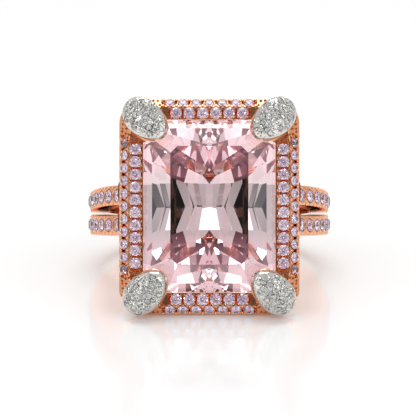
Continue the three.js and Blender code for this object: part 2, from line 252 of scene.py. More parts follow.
def round_brilliant() -> Shell:
    """A round brilliant of radius 1 with its girdle at Z = 0.

    Eight kites round an eight-sided table, stars and upper halves on the crown, and kites
    and lower halves down to the point.

    Returns:
        The stone as a closed flat-faced shell.
    """
    eight = np.arange(8)

    def circle(radius: float, height: float, count: int, offset: float) -> np.ndarray:
        """Level points round the axis, turned by a share of their pitch."""
        angle = (np.arange(count) + offset) * 2 * np.pi / count
        return np.stack([radius * np.cos(angle), radius * np.sin(angle), np.full(count, height)], -1)

    table = circle(0.56, 0.34, 8, 0)
    crown = circle(0.80, 0.19, 8, 0.5)
    girdle = circle(1.0, 0.0, 16, 0)
    lower = circle(0.36, -0.58, 8, 0.5)
    points = np.concatenate([table, crown, girdle, lower, [[0, 0, -0.86]]])
    t, c, g, p, culet = eight, 8 + eight, 16, 32 + eight, np.full(8, 40)
    before_c, before_p, next_t = np.roll(c, 1), np.roll(p, 1), np.roll(t, -1)
    main, half, after = g + 2 * eight, g + 2 * eight + 1, g + (2 * eight + 2) % 16
    quads = np.concatenate([
        np.stack([t, before_c, main, c], -1),
        np.stack([culet, p, main, before_p], -1),
    ])
    triangles = np.concatenate([
        np.stack([t, c, next_t], -1),
        np.stack([c, main, half], -1),
        np.stack([c, half, after], -1),
        np.stack([p, half, main], -1),
        np.stack([p, after, half], -1),
    ])
    return outward(Shell(points, [t[None], quads, triangles]))


def bead() -> Shell:
    """A low dome of radius 1 with its foot sunk below Z = 0, for a bead of metal.

    Returns:
        A closed shell of a few dozen faces.
    """
    sides = 10
    rise = np.radians([-35, 0, 28, 56])[:, None]
    angle = np.arange(sides) * 2 * np.pi / sides
    x, y = np.cos(rise) * np.cos(angle), np.cos(rise) * np.sin(angle)
    return capped_tube(np.stack(np.broadcast_arrays(x, y, np.sin(rise)), -1))


def spaced(places: np.ndarray, gap: float) -> np.ndarray:
    """Picks, in order, each place that is more than a gap away from all those picked before it.

    Args:
        places: The places to choose from, one row each.
        gap: The smallest distance between two picked places.

    Returns:
        The numbers of the places picked.
    """
    picked, left = [], np.arange(len(places))
    while len(left):
        picked.append(left[0])
        left = left[np.linalg.norm(places[left] - places[left[0]], axis=1) > gap]
    return np.array(picked)


def sink_seats(
    points: np.ndarray, centres: np.ndarray, ups: np.ndarray, radius: float, depth: float,
    level: float = math.inf,
) -> np.ndarray:
    """Sinks a cone into a surface under each stone.

    A point at distance d from a stone's axis goes down along that axis by depth times
    (1 - d / radius), and not at all beyond the radius. Where cones meet, the deeper counts.

    Args:
        points: The surface's points.
        centres: The stones' middles on the surface.
        ups: The directions that the stones face.
        radius: The seats' radius.
        depth: The seats' depth.
        level: Points further than this above or below a stone's middle stay.

    Returns:
        The points, moved.
    """
    offset = points[:, None] - centres[None]
    along = np.einsum("ijk,jk->ij", offset, ups)
    across = np.linalg.norm(offset - along[..., None] * ups, axis=2)
    share = np.clip(1 - across / radius, 0, None) * (np.abs(along) < level)
    deepest = share.argmax(1)
    return points - share[np.arange(len(points)), deepest][:, None] * ups[deepest] * depth


# ---------- placing and making pieces ----------


@dataclass(frozen=True)
class RingPlace:
    """Where the worn ring's frame lies in the row's frame."""

    origin: np.ndarray
    axes: np.ndarray

    @classmethod
    def from_record(cls, record: dict) -> "RingPlace":
        """Reads the finger's direction and the bore's middle from the band's two edge mounts.

        Args:
            record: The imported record.

        Returns:
            The place of the ring.
        """
        mounts = {mount["name"]: mount for mount in record["mounts"]}
        upper, lower = mounts["band_upper_edge"], mounts["band_lower_edge"]
        finger = unit(np.array(upper["axis"], float))
        across = np.array([1.0, 0.0, 0.0])
        head = np.cross(across, finger)
        middle = (np.array(upper["pos_m"], float) + np.array(lower["pos_m"], float)) / 2
        edge_radius = FINGER_RADIUS + (SHANK_THICKNESS - BackBand.softness) / 2
        return cls(middle + head * edge_radius * MM, np.stack([across, finger, head]))

    def place(self, points: np.ndarray) -> np.ndarray:
        """Turns the worn ring's millimetres into the row's metres."""
        return self.origin + points @ self.axes * MM


@dataclass
class Bench:
    """Makes Blender pieces out of shells, in the ring's place."""

    ring: RingPlace

    def make(
        self, name: str, shell: Shell, finish: bpy.types.Material, replaces: Sequence[str],
        smooth_angle: float = 0.0,
    ) -> None:
        """Makes one piece, rides it on the ring's body and hides the CAD nodes it stands for.

        Args:
            name: The piece's name.
            shell: Its surface.
            finish: Its material.
            replaces: The CAD nodes that it stands for.
            smooth_angle: Edges sharper than this many degrees stay sharp; 0 keeps all flat.
        """
        mesh = bpy.data.meshes.new(name)
        faces = [row for array in shell.faces for row in array.tolist()]
        mesh.from_pydata(self.ring.place(shell.points), [], faces)
        if smooth_angle:
            mesh.polygons.foreach_set("use_smooth", np.ones(len(mesh.polygons), bool))
            mesh.set_sharp_from_angle(angle=math.radians(smooth_angle))
        mesh.materials.append(finish)
        mesh.update()
        piece = bpy.data.objects.new(name, mesh)
        bpy.context.scene.collection.objects.link(piece)
        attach(piece, "root")
        for node in replaces:
            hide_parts(node)
        LOG.info("%s: %d faces", name, len(mesh.polygons))


# ---------- finishes ----------


def add_node(
    tree: bpy.types.NodeTree, kind: str, feeds: dict[str | int, Any] | None = None, **settings: Any
) -> bpy.types.Node:
    """Adds a shader node and fills its inputs.

    Args:
        tree: The tree that gets the node.
        kind: The node's type, without the words ShaderNode.
        feeds: For each input, by name or number, its value or the socket that feeds it.
        settings: The node's own settings, such as its operation.

    Returns:
        The node.
    """
    node = tree.nodes.new("ShaderNode" + kind)
    for name, setting in settings.items():
        setattr(node, name, setting)
    for name, feed in (feeds or {}).items():
        if isinstance(feed, bpy.types.NodeSocket):
            tree.links.new(feed, node.inputs[name])
        else:
            node.inputs[name].default_value = feed
    return node


def new_material(name: str) -> tuple[bpy.types.Material, bpy.types.Node]:
    """Makes an empty node material.

    Args:
        name: The material's name.

    Returns:
        The material and its Principled BSDF node.
    """
    material = bpy.data.materials.new(name)
    material.use_nodes = True
    tree = material.node_tree
    tree.nodes.clear()
    shader = add_node(tree, "BsdfPrincipled")
    add_node(tree, "OutputMaterial", {"Surface": shader.outputs["BSDF"]})
    return material, shader


def polish_group() -> bpy.types.NodeTree:
    """Builds the node group for hand-polished metal.

    Fine noise varies the roughness, broad noise shades the colour, and the fine noise also
    raises a very low bump, as a polishing wheel leaves it.

    Returns:
        The node group, with inputs Tone, Shade, Roughness and Spread, and outputs Color,
        Roughness and Normal.
    """
    broad_scale, fine_scale, fine_detail = 700, 6000, 4
    bump_strength, bump_height = 0.12, 0.00002
    group = bpy.data.node_groups.new("hand_polish", "ShaderNodeTree")
    for name, way, kind in (
        ("Tone", "INPUT", "Color"), ("Shade", "INPUT", "Color"), ("Roughness", "INPUT", "Float"),
        ("Spread", "INPUT", "Float"), ("Color", "OUTPUT", "Color"), ("Roughness", "OUTPUT", "Float"),
        ("Normal", "OUTPUT", "Vector"),
    ):
        group.interface.new_socket(name, in_out=way, socket_type="NodeSocket" + kind)
    given = group.nodes.new("NodeGroupInput").outputs
    place = add_node(group, "TexCoord").outputs["Object"]
    broad = add_node(group, "TexNoise", {"Vector": place, "Scale": broad_scale}).outputs["Fac"]
    fine = add_node(
        group, "TexNoise", {"Vector": place, "Scale": fine_scale, "Detail": fine_detail}).outputs["Fac"]
    tint = add_node(
        group, "Mix", {"Factor": broad, "A": given["Tone"], "B": given["Shade"]}, data_type="RGBA")
    rough = add_node(
        group, "Math", {0: fine, 1: given["Spread"], 2: given["Roughness"]}, operation="MULTIPLY_ADD")
    bump = add_node(group, "Bump", {"Height": fine, "Strength": bump_strength, "Distance": bump_height})
    outputs = group.nodes.new("NodeGroupOutput").inputs
    group.links.new(tint.outputs["Result"], outputs["Color"])
    group.links.new(rough.outputs[0], outputs["Roughness"])
    group.links.new(bump.outputs["Normal"], outputs["Normal"])
    return group


@dataclass(frozen=True)
class MetalFinish:
    """Polished precious metal: a tone, its darker shade, and how rough the polish is."""

    name: str
    tone: tuple[float, float, float]
    shade: tuple[float, float, float]
    roughness: float
    spread: float

    def build(self, polish: bpy.types.NodeTree) -> bpy.types.Material:
        """Builds the material.

        Args:
            polish: The shared hand-polish node group.

        Returns:
            The material.
        """
        material, shader = new_material(self.name)
        group = add_node(material.node_tree, "Group", {
            "Tone": (*self.tone, 1), "Shade": (*self.shade, 1),
            "Roughness": self.roughness, "Spread": self.spread,
        }, node_tree=polish)
        links = material.node_tree.links
        links.new(group.outputs["Color"], shader.inputs["Base Color"])
        links.new(group.outputs["Roughness"], shader.inputs["Roughness"])
        links.new(group.outputs["Normal"], shader.inputs["Normal"])
        shader.inputs["Metallic"].default_value = 1
        return material


@dataclass(frozen=True)
class GemFinish:
    """Clear cut stone: its tint at the surface, a second tint in patches, and the colour it takes up inside.
    On the small stones the second tint is dark: painted dark reflections.
    """

    name: str
    tint: tuple[float, float, float]
    patch_tint_and_painted_dark: tuple[float, float, float]
    patches: float
    ior: float
    body: tuple[float, float, float] = (1.0, 1.0, 1.0)
    density: float = 0.0
    patch_edges: tuple[float, float] = (0.40, 0.62)

    def build(self) -> bpy.types.Material:
        """Builds the material, with a change of tint from place to place, slow on the centre stone; on the
        small stones the patches are dark, painted dark reflections.

        Returns:
            The material.
        """
        material, shader = new_material(self.name)
        tree = material.node_tree
        place = add_node(tree, "TexCoord").outputs["Object"]
        noise = add_node(tree, "TexNoise", {"Vector": place, "Scale": self.patches}).outputs["Fac"]
        start, stop = self.patch_edges
        sharper = add_node(tree, "MapRange", {"Value": noise, "From Min": start, "From Max": stop})
        # mixes in the second tint in patches; on the small stones it is dark, painted dark reflections
        tint = add_node(tree, "Mix", {
            "Factor": sharper.outputs["Result"], "A": (*self.tint, 1), "B": (*self.patch_tint_and_painted_dark, 1),
        }, data_type="RGBA")
        tree.links.new(tint.outputs["Result"], shader.inputs["Base Color"])
        shader.inputs["Transmission Weight"].default_value = 1
        shader.inputs["Roughness"].default_value = 0
        shader.inputs["IOR"].default_value = self.ior
        if self.density:
            absorb = add_node(tree, "VolumeAbsorption", {"Color": (*self.body, 1), "Density": self.density})
            tree.links.new(absorb.outputs["Volume"], tree.nodes["Material Output"].inputs["Volume"])
        return material


ROSE_GOLD = MetalFinish("rose_gold", (0.93, 0.50, 0.30), (0.86, 0.38, 0.19), 0.08, 0.10)
WHITE_GOLD = MetalFinish("white_gold", (0.82, 0.80, 0.76), (0.56, 0.54, 0.50), 0.08, 0.12)
PINK_STONE = GemFinish(
    "pink_centre_stone", (1.0, 0.98, 0.985), (1.0, 0.96, 0.97), 900, 2.2, (0.875, 0.0, 0.156), 16.0)
# the small stones' second tints are dark: painted dark reflections in patches, not their body colour
PINK_MELEE = GemFinish("pink_melee", (0.97, 0.86, 0.98), (0.52, 0.30, 0.50), 4200, 2.2)
WHITE_MELEE = GemFinish("white_melee", (1.0, 1.0, 0.98), (0.16, 0.16, 0.15), 5200, 2.4)


@dataclass
class Finishes:
    """The built materials of the ring."""

    rose: bpy.types.Material
    white: bpy.types.Material
    centre: bpy.types.Material
    pink: bpy.types.Material
    clear: bpy.types.Material

    @classmethod
    def build(cls) -> "Finishes":
        """Builds every finish once.

        Returns:
            The finishes.
        """
        polish = polish_group()
        return cls(
            ROSE_GOLD.build(polish), WHITE_GOLD.build(polish), PINK_STONE.build(), PINK_MELEE.build(),
            WHITE_MELEE.build(),
        )


# ---------- centre stone ----------


@dataclass(frozen=True)
class Facet:
    """A pavilion facet: which way it faces, how steep it is, and a point that it passes.

    The point lies `reach` out from the stone's axis along the facet's own azimuth, and
    `depth` below the girdle.
    """

    azimuth: float
    slope: float
    reach: float
    depth: float


@dataclass
class CentreStone:
    """The large cut-corner stone, cut facet by facet.

    Every facet is a plane. Each long side has one long flat facet at the slope of `bar`,
    whose two reflections give the dark bars; shallower facets cross in the middle, and
    many small ones break up the light at the two ends. The crown's steps are given as
    (slope, inset from the girdle, height above it), and a facet's point as (reach, depth).
    """

    girdle: float = 0.3
    crown: tuple[tuple[float, float, float], ...] = ((90, 0, 0), (46, 0, 0), (31.5, 0.74, 0.766))
    bar: float = 42.0
    bar_start: tuple[float, float] = (3.184, 2.514)
    end_slopes: tuple[float, ...] = (55, 50, 45, 42)
    end_shares: tuple[float, ...] = (0.89, 0.75, 0.61)
    shaved: int = 18
    shaved_azimuths: tuple[float, float] = (40, 90)
    shaved_slopes: tuple[float, float] = (38, 54)
    shaving_depth: float = 0.15
    shaving_seed: int = 44
    # painted glow of the stone's ends: its emission colour, and where along the finger it starts, is whole
    # and stops
    glow: tuple[float, float, float] = (0.15, 0.075, 0.09)
    glow_start: float = 2.3
    glow_full: float = 3.4
    glow_stop: float = 6.2

    def crown_planes(self) -> tuple[np.ndarray, np.ndarray]:
        """Gives the table, the two steps of the crown and the upright girdle.

        Returns:
            The planes' outward directions and distances.
        """
        half_x, half_y = STONE_HALF
        corner = (half_x + half_y - STONE_CUT) / math.sqrt(2)
        top = GIRDLE_Z + self.girdle / 2
        directions = [(0.0, 0.0, 1.0)]
        distances = [TABLE_Z]
        for azimuth, reach in ((0, half_x), (180, half_x), (90, half_y), (270, half_y),
                               (45, corner), (135, corner), (225, corner), (315, corner)):
            a = math.radians(azimuth)
            for slope, inset, height in self.crown:
                s = math.radians(slope)
                directions.append((math.cos(a) * math.sin(s), math.sin(a) * math.sin(s), math.cos(s)))
                distances.append((reach - inset) * math.sin(s) + (top + height) * math.cos(s))
        return np.array(directions), np.array(distances)

    def steps(self, azimuth: float, slopes: Sequence[float], shares: Sequence[float]) -> list[Facet]:
        """Cuts facets of one azimuth in steps, each starting where the last one stops.

        Args:
            azimuth: The facets' azimuth in degrees.
            slopes: Their slopes, from the girdle inwards.
            shares: Where each step stops, as a share of the girdle's reach that way.

        Returns:
            The facets.
        """
        a = math.radians(azimuth)
        half_x, half_y = STONE_HALF
        corners = ((half_x, half_y - STONE_CUT), (half_x - STONE_CUT, half_y))
        girdle_reach = max(x * math.cos(a) + y * math.sin(a) for x, y in corners)
        reach, depth = girdle_reach, 0.0
        facets = []
        for i, slope in enumerate(slopes):
            facets.append(Facet(azimuth, slope, reach, depth))
            if i < len(shares):
                inner = shares[i] * girdle_reach
                depth += (reach - inner) * math.tan(math.radians(slope))
                reach = inner
        return facets

    def crossing(self, azimuth: float, slope: float, x: float, y: float, raised: float) -> Facet:
        """Cuts a facet that meets the long flat facet at a point.

        Args:
            azimuth: The facet's azimuth in degrees.
            slope: Its slope in degrees.
            x: Where it meets the long facet, across the stone.
            y: Where it meets it, along the stone.
            raised: How far above the long facet it passes there.

        Returns:
            The facet.
        """
        a = math.radians(azimuth)
        start_x, start_depth = self.bar_start
        depth = start_depth + (start_x - x) * math.tan(math.radians(self.bar))
        return Facet(azimuth, slope, x * math.cos(a) + y * math.sin(a), depth - raised)

    def pavilion_facets(self) -> list[Facet]:
        """Lists the pavilion's facets for one quarter of the stone.

        Returns:
            The long flat facet, those that cross it, and the kept steps of the end.
        """
        start_x, start_depth = self.bar_start
        facets = [Facet(0, self.bar, start_x, start_depth)]
        facets += self.steps(0, (57,), ())
        facets += self.steps(4, (52, 46), (0.9,))
        facets += [
            self.crossing(1.2, 40.5, 2.0, 0, 0),
            self.crossing(3.8, 37.5, 1.2, 0, 0.04),
            self.crossing(20, 39, 3.1, 2.4, 0),
            self.crossing(36, 41, 2.2, 2.6, 0.02),
            self.crossing(51, 43, 1.2, 2.7, 0.1),
        ]
        for azimuth, kept in {90: (0, 2), 76: (1,), 60: (0,), 45: (0, 2)}.items():
            steps = self.steps(azimuth, self.end_slopes, self.end_shares)
            facets += [steps[k] for k in kept]
        return facets

    def pavilion_planes(self) -> tuple[np.ndarray, np.ndarray]:
        """Mirrors the pavilion's facets into the four quarters.

        Returns:
            The planes' outward directions and distances.
        """
        rows = np.array([(f.azimuth, f.slope, f.reach, f.depth) for f in self.pavilion_facets()])
        azimuth, slope = np.radians(rows[:, 0]), np.radians(rows[:, 1])
        out = np.stack([np.cos(azimuth), np.sin(azimuth), np.zeros(len(rows))], -1)
        quarter = out * np.sin(slope)[:, None] - np.array([0, 0, 1]) * np.cos(slope)[:, None]
        directions = (quarter[None] * QUARTERS[:, None]).reshape(-1, 3)
        height = GIRDLE_Z - self.girdle / 2 - rows[:, 3]
        distances = np.tile(rows[:, 2] * np.sin(slope) - height * np.cos(slope), 4)
        both = np.unique(np.round(np.column_stack([directions, distances]), 9), axis=0)
        return both[:, :3], both[:, 3]

    @staticmethod
    def corners_left(directions: np.ndarray, distances: np.ndarray) -> np.ndarray:
        """Finds the corners of the solid that planes leave.

        Every three planes meet in one point; the points that no plane cuts off are the
        corners.

        Args:
            directions: The planes' outward directions.
            distances: Their distances from the origin.

        Returns:
            The corners.
        """
        parallel, touching, decimals = 1e-7, 1e-6, 4
        numbers = np.arange(len(directions))
        triples = np.stack(np.meshgrid(numbers, numbers, numbers, indexing="ij"), -1).reshape(-1, 3)
        triples = triples[(triples[:, 0] < triples[:, 1]) & (triples[:, 1] < triples[:, 2])]
        matrix = directions[triples]
        sound = np.abs(np.linalg.det(matrix)) > parallel
        corners = np.linalg.solve(matrix[sound], distances[triples[sound]][..., None])[..., 0]
        inside = (corners @ directions.T <= distances + touching).all(1)
        return np.unique(np.round(corners[inside], decimals), axis=0)

    def shavings(self, corners: np.ndarray) -> tuple[np.ndarray, np.ndarray]:
        """Shaves small facets off the corners of the pavilion's two ends.

        Each has a seeded random direction, and passes a little inside the corner that
        lies farthest that way.

        Args:
            corners: The corners to shave.

        Returns:
            The planes' outward directions and distances.
        """
        rng = np.random.default_rng(self.shaving_seed)
        azimuth = np.radians(rng.uniform(*self.shaved_azimuths, self.shaved))
        slope = np.radians(rng.uniform(*self.shaved_slopes, self.shaved))
        out = np.sin(slope)
        quarter = np.stack([np.cos(azimuth) * out, np.sin(azimuth) * out, -np.cos(slope)], -1)
        reach = (corners @ quarter.T).max(0) - rng.uniform(0.3, 1, self.shaved) * self.shaving_depth
        return (quarter[None] * QUARTERS[:, None]).reshape(-1, 3), np.tile(reach, len(QUARTERS))

    def shell(self) -> Shell:
        """Finds the solid that all the planes leave.

        A plane's corners, in order round their middle, are its facet.

        Returns:
            The stone.
        """
        parts = [self.crown_planes(), self.pavilion_planes()]
        directions = np.concatenate([part[0] for part in parts])
        distances = np.concatenate([part[1] for part in parts])
        small = self.shavings(self.corners_left(directions, distances))
        directions = np.concatenate([directions, small[0]])
        distances = np.concatenate([distances, small[1]])
        corners = self.corners_left(directions, distances)
        tolerance = 2e-4
        faces = []
        for direction, distance in zip(directions, distances):
            on_plane = np.flatnonzero(np.abs(corners @ direction - distance) < tolerance)
            if len(on_plane) < 3:
                continue
            around = corners[on_plane] - corners[on_plane].mean(0)
            side = unit(np.cross(direction, (0.3, 0.5, 0.81)))
            angle = np.arctan2(around @ np.cross(direction, side), around @ side)
            faces.append(on_plane[np.argsort(angle)][None])
        return outward(Shell(corners, faces))

    def paint_glow_into_ends(self, finish: bpy.types.Material, ring: RingPlace) -> None:
        """Paints a faint pink glow into the two ends of the stone, as emission: painted light that stands in
        for the light a real stone sends back through its ends.

        The glow grows with the distance from the stone's middle line, measured along the
        finger, from nothing at `glow_start` to the whole at `glow_full`, and fades again
        towards `glow_stop`. Only the facets under the girdle have it.

        Args:
            finish: The stone's material.
            ring: The place of the ring.
        """
        tree = finish.node_tree
        shader = next(node for node in tree.nodes if node.type == "BSDF_PRINCIPLED")
        _, finger, head = ring.axes
        place = add_node(tree, "TexCoord").outputs["Object"]
        along = add_node(tree, "VectorMath", {0: place, 1: tuple(finger)}, operation="DOT_PRODUCT")
        offset = add_node(
            tree, "Math", {0: along.outputs["Value"], 1: float(ring.origin @ finger)}, operation="SUBTRACT")
        out = add_node(tree, "Math", {0: offset.outputs[0]}, operation="ABSOLUTE").outputs[0]
        share, fade = (
            add_node(tree, "MapRange", {"Value": out, "From Min": start * MM, "From Max": stop * MM})
            for start, stop in ((self.glow_start, self.glow_full), (self.glow_stop, self.glow_stop - 1))
        )
        height = add_node(tree, "VectorMath", {0: place, 1: tuple(head)}, operation="DOT_PRODUCT")
        girdle_height = float(ring.origin @ head) + (GIRDLE_Z - self.girdle) * MM
        under = add_node(tree, "Math", {0: height.outputs["Value"], 1: girdle_height}, operation="LESS_THAN")
        both = add_node(
            tree, "Math", {0: share.outputs["Result"], 1: fade.outputs["Result"]}, operation="MULTIPLY")
        amount = add_node(tree, "Math", {0: both.outputs[0], 1: under.outputs[0]}, operation="MULTIPLY")
        # painted light: the ends glow as emission, though the stone is no lamp
        glow = add_node(tree, "Mix", {
            "Factor": amount.outputs[0], "A": (0, 0, 0, 1), "B": (*self.glow, 1),
        }, data_type="RGBA")
        tree.links.new(glow.outputs["Result"], shader.inputs["Emission Color"])
        shader.inputs["Emission Strength"].default_value = 1

    def build(self, bench: Bench, finishes: Finishes) -> None:
        """Paints the glow into the stone's ends, cuts the stone and hides the CAD one."""
        self.paint_glow_into_ends(finishes.centre, bench.ring)
        bench.make("faceted_centre_stone", self.shell(), finishes.centre, ["centre_stone"])


# ---------- halo ----------


def quarter_turn(points: np.ndarray, turns: int) -> np.ndarray:
    """Turns points about Z.

    Args:
        points: The points.
        turns: How many quarter turns to make.

    Returns:
        The points, turned.
    """
    for _ in range(turns):
        points = np.stack([-points[..., 1], points[..., 0], points[..., 2]], -1)
    return points


@dataclass
class StoneRow:
    """A straight row of stones on a flat strip of metal, with saw lines between its seats."""

    centres: np.ndarray
    up: np.ndarray
    along: np.ndarray
    radius: float
    pitch: float
    saw_depth: float = 0.24
    saw_half_width: float = 0.09
    lift: float = 0.03
    tilt: float = 0.035

    @property
    def gaps(self) -> np.ndarray:
        """The middles between neighbours, and one beyond each end."""
        half_step = self.along * self.pitch / 2
        return np.concatenate([self.centres[:1] - half_step, self.centres + half_step])

    def seat(self, points: np.ndarray) -> np.ndarray:
        """Cuts the row's seats and the saw lines between them into a surface.

        Args:
            points: The surface's points.

        Returns:
            The points, moved.
        """
        ups = np.broadcast_to(self.up, self.centres.shape)
        moved = sink_seats(points, self.centres, ups, self.radius * 1.08, self.radius, 0.25)
        offset = points[:, None] - self.gaps[None]
        near = np.abs(offset @ self.along)
        wide = np.abs(offset @ np.cross(self.up, self.along)) < self.radius * 1.02
        level = np.abs(offset @ self.up) < 0.2
        share = np.clip(1 - near / self.saw_half_width, 0, 1) * wide * level
        return moved - self.up * (self.saw_depth * share.max(1))[:, None]

    def stones(self, template: Shell, rng: np.random.Generator) -> Shell:
        """Sets a stone on every seat, each turned a little its own way.

        Args:
            template: The stone of radius 1.
            rng: Source of the turns.

        Returns:
            The row of stones.
        """
        count = len(self.centres)
        turn = rng.uniform(0, math.pi / 4, count)
        side = np.cross(self.up, self.along)
        alongs = np.cos(turn)[:, None] * self.along + np.sin(turn)[:, None] * side
        tilt = rng.normal(0, self.tilt, (count, 2))
        ups = self.up + tilt[:, :1] * self.along + tilt[:, 1:] * side
        sizes = np.full((count, 3), self.radius)
        return repeated(template, self.centres + self.up * self.lift, ups, sizes, alongs)

    def beads(self, template: Shell, rng: np.random.Generator, size: float) -> Shell:
        """Raises two beads at each gap, one on each side of the row.

        Args:
            template: The bead of radius 1.
            rng: Source of small differences in size and place.
            size: The beads' radius.

        Returns:
            The beads.
        """
        reach = np.cross(self.up, self.along) * self.radius * 0.80
        places = np.concatenate([self.gaps + reach, self.gaps - reach])
        places = places + rng.normal(0, 0.012, places.shape)
        sizes = np.repeat(rng.uniform(0.85, 1.15, (len(places), 1)), 3, 1) * size
        ups, alongs = (np.broadcast_to(axis, places.shape) for axis in (self.up, self.along))
        return repeated(template, places, ups, sizes, alongs)


@dataclass
class Halo:
    """The rectangular frame round the centre stone, with its two rows of stones.

    The collar is the thin wall that stands up round the stone.
    """

    corner_samples: int = 64
    arc_points: int = 24
    straight_step: float = 0.05
    margin: float = 0.03
    collar: float = 0.13
    chamfer: float = 0.2
    inner_radius: float = 0.465
    outer_radius: float = 0.42
    bead_size: float = 0.14
    corner_tries: int = 3000
    corner_start: tuple[float, float] = (3.4, 5.2)
    side_rows_end: tuple[float, float] = (6.9, 5.35)
    end_rows_end: float = 3.9

    def outlines(self) -> tuple[np.ndarray, np.ndarray]:
        """Walks round the inner and the outer outline together.

        A quarter goes from the middle of the right side to the middle of the upper one:
        straight across the frame along both sides, and fanning out round the corner.

        Returns:
            Matching points (x, y) on the inner and the outer outline, anticlockwise.
        """
        inner_x, inner_y = STONE_HALF[0] + self.margin, STONE_HALF[1] + self.margin
        outer_x, outer_y = HALO_HALF
        straight_y, straight_x = inner_y - STONE_CUT, inner_x - STONE_CUT
        side = np.arange(0, straight_y, self.straight_step)
        end = np.arange(straight_x, -self.straight_step / 2, -self.straight_step)
        share = np.linspace(0, 1, self.corner_samples)
        cut_in = np.stack([inner_x - share * STONE_CUT, straight_y + share * STONE_CUT], -1)
        arc = np.radians(np.linspace(0, 90, self.arc_points))
        corner = np.array([outer_x - HALO_CORNER, outer_y - HALO_CORNER])
        around = np.concatenate([
            [[outer_x, straight_y]],
            corner + HALO_CORNER * np.stack([np.cos(arc), np.sin(arc)], -1),
            [[straight_x, outer_y]],
        ])
        walked = np.concatenate([[0], np.cumsum(np.linalg.norm(np.diff(around, axis=0), axis=1))])
        place = share * walked[-1]
        cut_out = np.stack([np.interp(place, walked, around[:, axis]) for axis in (0, 1)], -1)
        inner, outer = (
            self.mirrored(np.concatenate([
                np.stack([np.full(len(side), x), side], -1),
                cut[:-1],
                np.stack([end, np.full(len(end), y)], -1),
            ]))
            for x, y, cut in ((inner_x, inner_y, cut_in), (outer_x, outer_y, cut_out))
        )
        return inner, outer

    @staticmethod
    def mirrored(quarter: np.ndarray) -> np.ndarray:
        """Mirrors a quarter of an outline into the whole of it, anticlockwise.

        Args:
            quarter: Points (x, y) from the middle of the right side to that of the upper one.

        Returns:
            The whole outline; a point on the middle line is there once.
        """
        right = np.concatenate([(quarter * (1, -1))[::-1][:-1], quarter])
        left = (right * (-1, 1))[::-1]
        if abs(right[-1, 0]) < 1e-9:
            right, left = right[:-1], left[:-1]
        return np.concatenate([right, left])

    def profile(self) -> np.ndarray:
        """Gives the frame's section, as a closed loop.

        Returns:
            Points (share of the way from the inner to the outer outline, height).
        """
        shoulder = HALO_TOP_Z - HALO_BEVEL_DOWN
        foot = shoulder - HALO_WALL
        bottom = foot - HALO_BEVEL_DOWN
        bevel = 1 - HALO_BEVEL_OUT / (HALO_HALF[0] - STONE_HALF[0] - self.margin)
        rim = HALO_TOP_Z + self.collar
        corners = [
            (0.0, bottom + self.chamfer), (0.0, rim - 0.03), (0.012, rim), (0.055, rim), (0.075, HALO_TOP_Z),
            (bevel, HALO_TOP_Z), (1.0, shoulder), (1.0, foot), (bevel, bottom), (0.1, bottom),
        ]
        points_per_leg = (6, 1, 2, 2, 24, 20, 3, 4, 3, 2)
        return np.concatenate([
            np.linspace(start, stop, count + 1)[:-1]
            for start, stop, count in zip(corners, corners[1:] + corners[:1], points_per_leg)
        ])

    def rows(self) -> list[tuple[str, StoneRow, StoneRow]]:
        """Lays out the inner and the outer row of each side.

        Returns:
            For each side its name, its inner row and its outer row.
        """
        slope = math.atan2(HALO_BEVEL_DOWN, HALO_BEVEL_OUT)
        slope_up = np.array([math.sin(slope), 0, math.cos(slope)])
        top_up = np.array([0.0, 0.0, 1.0])
        kinds = (
            (INNER_ROWS, HALO_TOP_Z, top_up, self.inner_radius),
            (OUTER_ROWS, HALO_TOP_Z - HALO_BEVEL_DOWN / 2, slope_up, self.outer_radius),
        )
        out = []
        for turns, name in enumerate(HALO_SIDES):
            along = quarter_turn(np.array([0.0, 1.0, 0.0]), turns)
            pair = []
            for layouts, height, up, radius in kinds:
                layout = layouts["side" if turns % 2 == 0 else "end"]
                y = (np.arange(layout.count) - (layout.count - 1) / 2) * layout.pitch
                centres = np.stack(np.broadcast_arrays(layout.reach, y, height), -1)
                turned = quarter_turn(centres, turns), quarter_turn(up, turns)
                pair.append(StoneRow(*turned, along, radius, layout.pitch))
            out.append((name, *pair))
        return out

    def corner_beads(self, rng: np.random.Generator) -> Shell:
        """Scatters beads over the four corners, clear of the rows, the stone and the edge.

        Args:
            rng: Source of the beads' places; one too near to an earlier one is left out.

        Returns:
            The beads.
        """
        arc = np.array(HALO_HALF) - HALO_CORNER
        tries = rng.uniform(self.corner_start, HALO_HALF, (self.corner_tries, 2))
        from_arc = np.clip(tries - arc, 0, None)
        in_corner = (tries > arc).all(1)
        edge = HALO_CORNER - np.where(in_corner, np.linalg.norm(from_arc, axis=1), from_arc.max(1))
        off_stone = (tries.sum(1) - (sum(STONE_HALF) - STONE_CUT)) / math.sqrt(2)
        on_rows = (tries < self.side_rows_end).all(1) | (tries[:, 0] < self.end_rows_end)
        free = (edge > 0.08) & (off_stone > 0.2) & ~on_rows
        drop = np.clip(HALO_BEVEL_OUT - edge, 0, None) * HALO_BEVEL_DOWN / HALO_BEVEL_OUT
        places = np.column_stack([tries, HALO_TOP_Z - drop])[free]
        places = places[spaced(places[:, :2], self.bead_size * 1.75)]
        places = np.concatenate([places * (*signs, 1) for signs in CORNERS.values()])
        sizes = np.repeat(rng.uniform(0.8, 1.1, (len(places), 1)), 3, 1) * self.bead_size
        ups, alongs = (np.broadcast_to(axis, places.shape) for axis in ((0.0, 0.0, 1.0), (1.0, 0.0, 0.0)))
        return repeated(bead(), places, ups, sizes, alongs)

